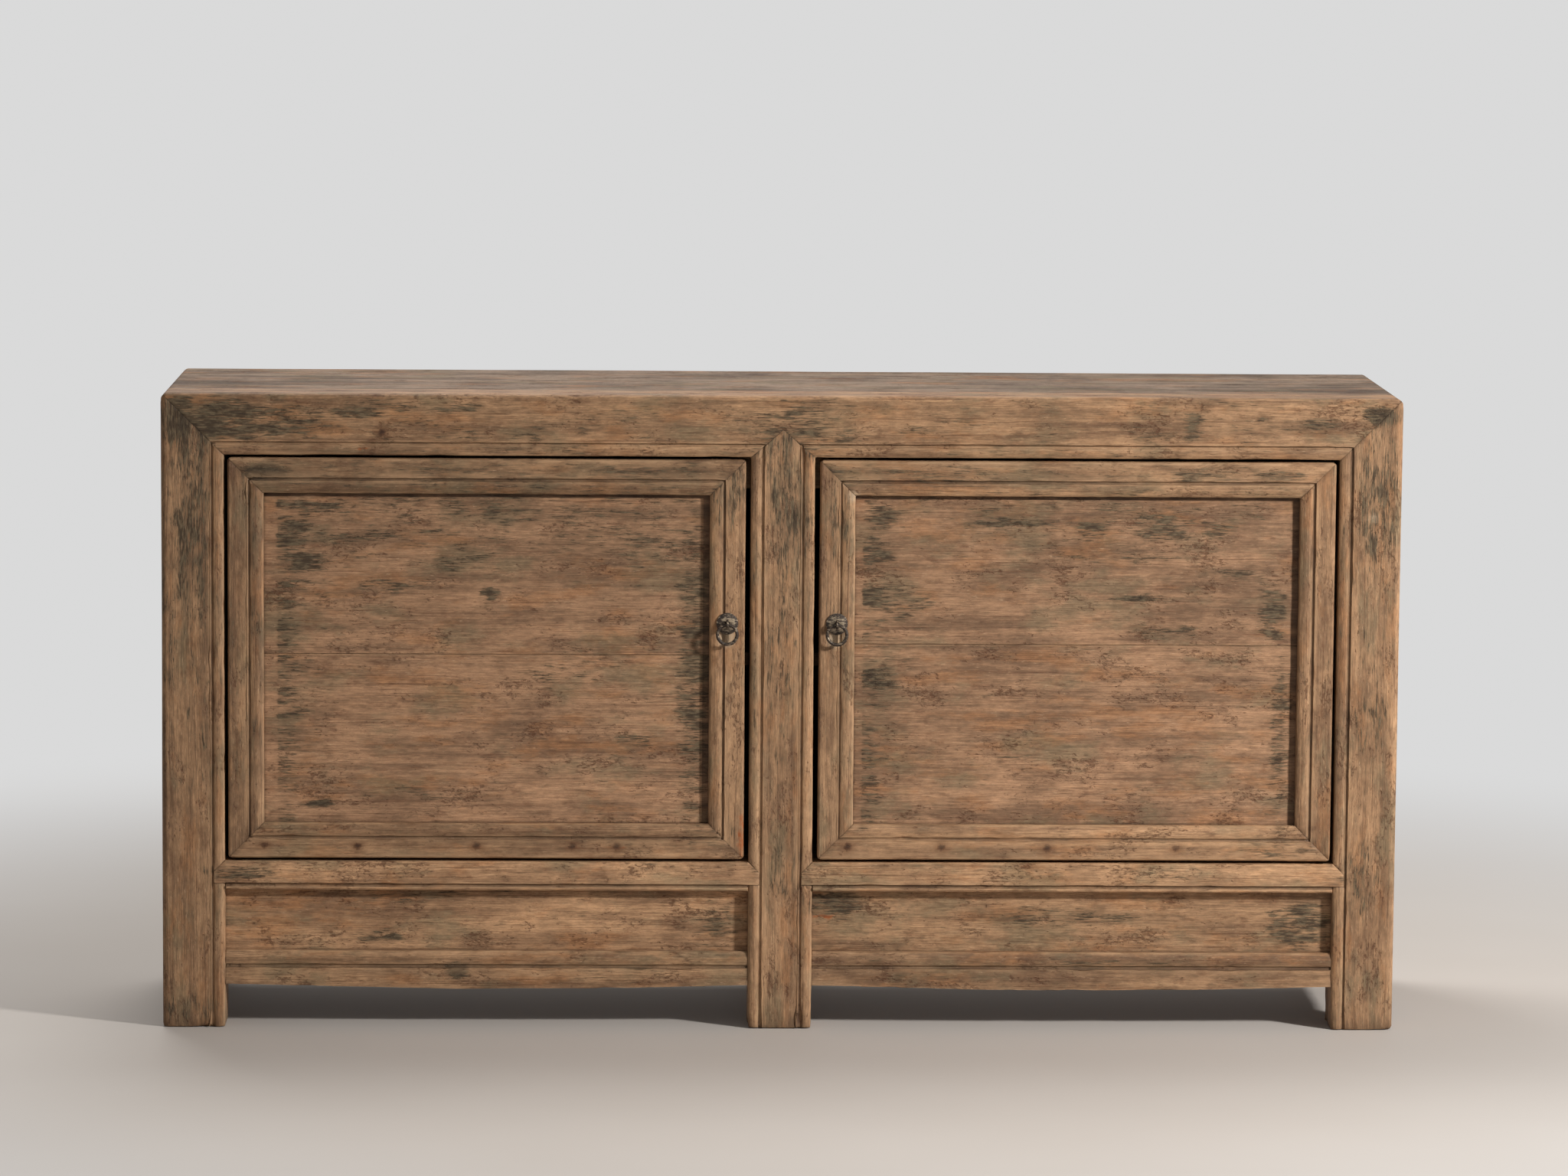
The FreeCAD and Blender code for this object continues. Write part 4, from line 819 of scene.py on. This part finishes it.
def neighbours(solid, solids):
    """The other solids of the same body whose boxes come near this one's."""
    def near(other):
        spans = zip(solid.low, solid.high, other.low, other.high)
        return all(low < there + TOUCH and here < high + TOUCH for low, high, here, there in spans)

    return [other for other in solids if other is not solid and other.body == solid.body and near(other)]


def touches(point, others):
    """Whether a point lies against another solid."""
    return any(other.tree.find_nearest(point, TOUCH)[0] is not None for other in others)


def seam_lines(solid, others):
    """Long edges of other solids that lie on this one, each with the axes across it that show."""
    lines = []
    for other in others:
        for along, start, end in other.edges:
            for share in PROBES:
                place, normal, _, _ = solid.tree.find_nearest(start.lerp(end, share), TOUCH)
                if place is not None:
                    shown = [axis for axis in range(3) if axis != along and abs(normal[axis]) < FACING]
                    lines.append((shown, start, end))
                    break
    return lines


def line_tree(lines):
    """A search tree of straight lines given by their ends, each a triangle with no width."""
    points = [end for line in lines for end in line]
    slivers = [(index, index + 1, index + 1) for index in range(0, len(points), 2)]
    return BVHTree.FromPolygons(points, slivers, all_triangles=True) if lines else None


def edge_tree(mesh, others, wanted):
    """A search tree along the free edges whose angle, negative in a hollow, is as wanted."""
    lines = []
    for edge in mesh.edges:
        if not wanted(edge.calc_face_angle_signed(0)):
            continue
        start, end = [vert.co.copy() for vert in edge.verts]
        if not touches(start.lerp(end, 0.5), others):
            lines.append((start, end))
    return line_tree(lines)


def wanted_cuts(solids, seams, marks):
    """Places along each axis where the mesh needs points: beside edges, on seams and at marks."""
    places = ([], [], [])
    for solid in solids:
        for along, start, _ in solid.edges:
            for axis in range(3):
                if axis != along:
                    places[axis].extend((start[axis] - EDGE_CUT, start[axis] + EDGE_CUT))
        for axis in range(3):
            places[axis].extend((solid.low[axis] + RIM_CUT, solid.high[axis] - RIM_CUT))
    for shown, start, _ in seams:
        for axis in shown:
            places[axis].extend(start[axis] + offset for offset in SEAM_CUTS)
    for axis, place, fade in marks:
        places[axis].extend((place - fade, place + fade))
    return places


def filled_cuts(wanted, low, high, step):
    """The wanted cuts along one axis, and even ones between those that lie further apart than a step."""
    kept = []
    for place in sorted(wanted):
        last = kept[-1] if kept else low
        if last + CLOSEST_CUTS < place < high - CLOSEST_CUTS:
            kept.append(place)
    filled = []
    for start, end in zip([low] + kept, kept + [high]):
        count = math.ceil((end - start) / step)
        filled += [start + (end - start) * index / count for index in range(1, count)]
    return sorted(kept + filled)


def along_axis(axis, place):
    """The vector of this length along one axis."""
    made = Vector()
    made[axis] = place
    return made


def middle(element, axis):
    """The middle of a vertex, edge or face along one axis."""
    if isinstance(element, bmesh.types.BMVert):
        return element.co[axis]
    if isinstance(element, bmesh.types.BMEdge):
        return (element.verts[0].co[axis] + element.verts[1].co[axis]) / 2
    return element.calc_center_median()[axis]


def slice_up(mesh, elements, axis, places):
    """Cuts across one axis at these places, halving the elements so that each cut meets few of them."""
    if not places:
        return
    half = len(places) // 2
    place = places[half]
    point, normal = along_axis(axis, place), along_axis(axis, 1)
    made = bmesh.ops.bisect_plane(mesh, geom=elements, dist=CUT_PRECISION, plane_co=point, plane_no=normal)
    placed = [(middle(element, axis), element) for element in made["geom"]]
    slice_up(mesh, [element for at, element in placed if at <= place + WELD], axis, places[:half])
    slice_up(mesh, [element for at, element in placed if at >= place - WELD], axis, places[half + 1:])


def refine(mesh, low, high, places, step):
    """Cuts the mesh at the wanted places and into even cells between them, the shortest side first."""
    for axis in sorted(range(3), key=lambda axis: high[axis] - low[axis]):
        cuts = filled_cuts(places[axis], low[axis], high[axis], step)
        slice_up(mesh, mesh.verts[:] + mesh.edges[:] + mesh.faces[:], axis, cuts)


def nearness(tree, point, reach):
    """1 on a line of the tree, falling to 0 at the reach."""
    if tree is None:
        return 0.0
    away = tree.find_nearest(point, reach)[3]
    return 0.0 if away is None else 1 - away / reach


def spot_strength(spots, point):
    """How strongly the spots of a list mark the front at a point."""
    if point.y > FRONT_DEPTH:
        return 0.0
    x, z = point.x * MILLIMETRES, point.z * MILLIMETRES
    most = 0.0
    for centre_x, centre_z, half_width, half_height, amount in spots:
        away = ((x - centre_x) / half_width) ** 2 + ((z - centre_z) / half_height) ** 2
        if away < 1:
            most = max(most, amount * (1 - away) ** STAIN_FALL)
    return most


def worn_depth(point, along, edge_near, chip_near, seam_near):
    """How far wear has taken a free face back at a point."""
    stretched = point / WAVE_WIDTH
    stretched[along] = point[along] / WAVE_LENGTH
    wave = WAVE * (0.5 + 0.5 * noise.noise(stretched)) * (1 - seam_near)
    chips = max(0.0, noise.noise(point / CHIP_SIZE + CHIP_SHIFT) - CHIP_RARITY)
    foot = FOOT_WEAR * max(0.0, 1 - point.z / FOOT_HEIGHT)
    return (ROUNDING * edge_near ** 2 + CHIP * chip_near * chips) * (1 + foot) + wave


Guides = collections.namedtuple("Guides", "sharp ridge hollow seams dirty joint others dirtying bare")


def leaves_dirt(solid, other):
    """Whether grime gathers where two solids meet, which it doesn't between the boards of a panel."""
    return solid.slot != "panel_wood" or other.slot != "panel_wood"


def all_seams(solids, groups):
    """The seam lines of every solid with its own group of others."""
    return [line for solid, group in zip(solids, groups) for line in seam_lines(solid, group)]


def seam_tree(lines):
    """A search tree of seam lines."""
    return line_tree([(start, end) for _, start, end in lines])


def guides_for(mesh, solids, everything, bare):
    """What steers a node's wear: its free edges, hollows and seams, and what each solid lies against."""
    others = [neighbours(solid, everything) for solid in solids]
    dirtying, clean = [], []
    for solid, group in zip(solids, others):
        dirtying.append([other for other in group if leaves_dirt(solid, other)])
        clean.append([other for other in group if not leaves_dirt(solid, other)])
    beside = [other for group in others for other in group]
    seams = all_seams(solids, others)
    guides = Guides(
        sharp=edge_tree(mesh, beside, lambda angle: angle > SHARP),
        ridge=edge_tree(mesh, beside, lambda angle: angle > RIDGE),
        hollow=edge_tree(mesh, beside, lambda angle: angle < HOLLOW),
        seams=seam_tree(seams),
        dirty=seam_tree(all_seams(solids, dirtying)),
        joint=seam_tree(all_seams(solids, clean)),
        others=others,
        dirtying=dirtying,
        bare=bare,
    )
    return guides, seams


def eased(point, limits_x, limits_z, radius):
    """A point drawn in to the worn corners of a front outline."""
    x = min(max(point.x, limits_x[0] + radius), limits_x[1] - radius)
    z = min(max(point.z, limits_z[0] + radius), limits_z[1] - radius)
    away = math.hypot(point.x - x, point.z - z)
    if away <= radius:
        return point
    share = radius / away
    return Vector((x + (point.x - x) * share, point.y, z + (point.z - z) * share))


def rounded(point, low, high, radius):
    """A point drawn in to the worn outer edges of a box."""
    inner = Vector([min(max(point[axis], low[axis] + radius), high[axis] - radius) for axis in range(3)])
    offset = point - inner
    return point if offset.length <= radius else inner + offset.normalized() * radius


def dirt_and_shade_at(point, guides, solid, seam_dirt):
    """How dark a point is made: dirt and painted shade in hollows, dirt along seams and on feet, grime
    with painted shade under a door panel's top rail, and a painted shadow along its right edge.
    """
    dirt = GROOVE_DIRT_AND_SHADE * nearness(guides.hollow, point, GROOVE_REACH)
    seam = 1.0 if touches(point, guides.dirtying[solid]) else nearness(guides.dirty, point, SEAM_REACH)
    foot = FOOT_DIRT * max(0.0, 1 - point.z / FOOT_DIRT_HEIGHT)
    # Painted shade: a dark band under the top rail, partly grime, and a painted shadow beside the right
    # stile, where that stile casts one
    under_rail = GRIME_AND_SHADE_LINE_DARKNESS if guides.bare and point.z > guides.bare.under_rail else 0.0
    by_stile = PAINTED_SHADOW_BY_STILE_DARKNESS if guides.bare and point.x > guides.bare.by_stile else 0.0
    return max(dirt, seam_dirt * seam, foot, under_rail, by_stile)


def offset_from(point, centres):
    """The way in x and z from a near mark on the front, or a long third part where none is near."""
    for x, z, shortfall in centres:
        offset = Vector((point.x - x, point.z - z, shortfall))
        if point.y < FRONT_DEPTH and offset.length < MARK_REACH:
            return offset
    return NO_MARK


def faded(point, panel, body):
    """How much lighter or darker a door panel is at a point's height."""
    if not panel:
        return 1.0
    low, high = CORNERS[body][1]
    below, above = PANEL_FADE[body]
    return below + (above - below) * (point.z - low) / (high - low)


def dress(mesh, along, number, guides, seam_dirt, tone, body, marks):
    """Wears the mesh back where it is free, and notes what the shader needs on its points."""
    grain, peg, pale = [mesh.verts.layers.float_vector.new(name) for name in ("grain", "peg", "pale")]
    names = ("wear", "dirt", "lacquer", "rust", "tone")
    wear, dirt, lacquer, rust, shade = [mesh.verts.layers.float.new(name) for name in names]
    solids = solid_numbers(mesh)
    mesh.normal_update()
    across = [axis for axis in range(3) if axis != along]
    lacquer_spots, rust_spots = list(LACQUER.values()), list(RUST.values())
    moved = []
    for vert in mesh.verts:
        point, solid = vert.co, solids[vert.index]
        edge_near = nearness(guides.sharp, point, ROUNDING_REACH)
        chip_near = nearness(guides.sharp, point, CHIP_REACH)
        bare = guides.bare and guides.bare.start <= point.x <= guides.bare.end
        seed = number * NODE_SHIFT + solid * SOLID_SHIFT
        turned = (point[along], point[across[0]], point[across[1]])
        vert[grain] = Vector([at + seed * share for at, share in zip(turned, GRAIN_SHIFT)])
        vert[peg] = offset_from(point, marks.pegs)
        vert[pale] = offset_from(point, marks.pale)
        joint_wear = JOINT_WEAR.get(body, 0.0) * nearness(guides.joint, point, SEAM_REACH)
        vert[wear] = max(nearness(guides.ridge, point, ROUNDING_REACH), joint_wear)
        vert[dirt] = dirt_and_shade_at(point, guides, solid, seam_dirt)
        vert[lacquer] = BARE_LACQUER if bare else spot_strength(lacquer_spots, point)
        vert[rust] = spot_strength(rust_spots, point)
        vert[shade] = tone * faded(point, guides.bare, body)
        calm = nearness(guides.seams, point, WAVE_CLEAR)
        held = touches(point, guides.others[solid])
        depth = 0.0 if held else worn_depth(point, along, edge_near, chip_near, calm)
        place = eased(point - vert.normal * depth, *CORNERS[body])
        moved.append(rounded(place, *outlines[body], EDGE_RADIUS[body]))
    for vert, place in zip(mesh.verts, moved):
        vert.co = place


def show(name, mesh, material, body):
    """A finished piece that rides on a body."""
    for face in mesh.faces:
        face.smooth = True
    data = bpy.data.meshes.new(name)
    mesh.to_mesh(data)
    mesh.free()
    data.materials.append(material)
    piece = bpy.data.objects.new(name, data)
    bpy.context.scene.collection.objects.link(piece)
    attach(piece, body)
    return piece


Bare = collections.namedtuple("Bare", "start end under_rail by_stile")


def panel_marks(body, slot):
    """Where a door's panel has its bare strip, and where its painted shade under the top rail and its
    painted shadow beside the right stile start.
    """
    if slot != "panel_wood":
        return None
    stile, width = BARE_STRIPS[body]
    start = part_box(stile)[1].x
    under_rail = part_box(body + "_top_rail")[0].z - GRIME_AND_SHADE_LINE
    by_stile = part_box(RIGHT_STILES[body])[0].x - PAINTED_SHADOW_BY_STILE
    return Bare(start, start + width, under_rail, by_stile)


Marks = collections.namedtuple("Marks", "pegs pale")


def marks_on(node):
    """Where the pegs and the pale spots lie on the front of a piece, in metres."""
    pegs, pale = [
        [Vector(spot) / MILLIMETRES for spot in table.get(node, ())] for table in (PEGS, PALE_SPOTS)
    ]
    return Marks(pegs, pale)


def body_box(body):
    """The box round the wooden nodes of a body, at rest; the carcass has no lower edge to wear."""
    rows = [part for part in frame["record"]["subparts"] if part["material_slot"] != "iron"]
    boxes = [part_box(part["node"]) for part in rows if frame["nodes"][part["node"]]["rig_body"] == body]
    low = Vector([min(box[0][axis] for box in boxes) for axis in range(3)])
    high = Vector([max(box[1][axis] for box in boxes) for axis in range(3)])
    if body == "carcass":
        low.z -= BELOW_FLOOR
    return low, high


def aged(node, number, mesh, solids, everything, material, slot):
    """A worn wooden piece that stands for a CAD node."""
    low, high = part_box(node)
    size = high - low
    along = max(range(3), key=lambda axis: size[axis])
    body = frame["nodes"][node]["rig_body"]
    bare = panel_marks(body, slot)
    guides, seams = guides_for(mesh, solids, everything, bare)
    step = COARSE_STEP if slot == "inner_wood" else FINE_STEP
    lines = []
    if bare:
        lines = [
            (X_AXIS, bare.end, STRIP_FADE),
            (Z_AXIS, bare.under_rail, LINE_FADE),
            (X_AXIS, bare.by_stile, LINE_FADE),
        ]
    refine(mesh, low, high, wanted_cuts(solids, seams, lines), step)
    seam_dirt = PANEL_SEAM_DIRT if slot == "panel_wood" else SEAM_DIRT
    dress(mesh, along, number, guides, seam_dirt, TONES.get(node, 1.0), body, marks_on(node))
    piece = show("aged_" + node, mesh, material, body)
    piece.modifiers.new("even_normals", "WEIGHTED_NORMAL").keep_sharp = True
    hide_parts(node)


outlines = {body: body_box(body) for body in CORNERS}


def dress_nodes():
    """Every CAD node gets its finish: wood is worn back, iron keeps its shape."""
    materials = {name: old_wood(name, wood) for name, wood in WOODS.items()}
    rows = [(part["node"], part["material_slot"]) for part in frame["record"]["subparts"]]
    meshes = {node: welded(node) for node, slot in rows if slot != "iron"}
    slots = dict(rows)
    solids = {node: separate_solids(node, mesh, slots[node]) for node, mesh in meshes.items()}
    everything = [solid for group in solids.values() for solid in group]
    for number, (node, slot) in enumerate(rows):
        if slot == "iron":
            data = frame["nodes"][node].data
            data.materials.clear()
            low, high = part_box(node)
            polish = PLATE_POLISH if node.endswith("plate") else 0.0
            data.materials.append(worn_iron("iron_" + node, (low + high) / 2, polish))
        else:
            aged(node, number, meshes[node], solids[node], everything, materials[slot], slot)


bpy.context.scene.view_settings.view_transform = "Standard"
camera()
lamp("key_lamp", KEY_DISTANCE, KEY_AZIMUTH, KEY_ELEVATION, KEY_SIZE, KEY_WATTS)
lamp("back_lamp", BACK_DISTANCE, BACK_AZIMUTH, BACK_ELEVATION, BACK_SIZE, BACK_WATTS)
room()
floor()
dress_nodes()
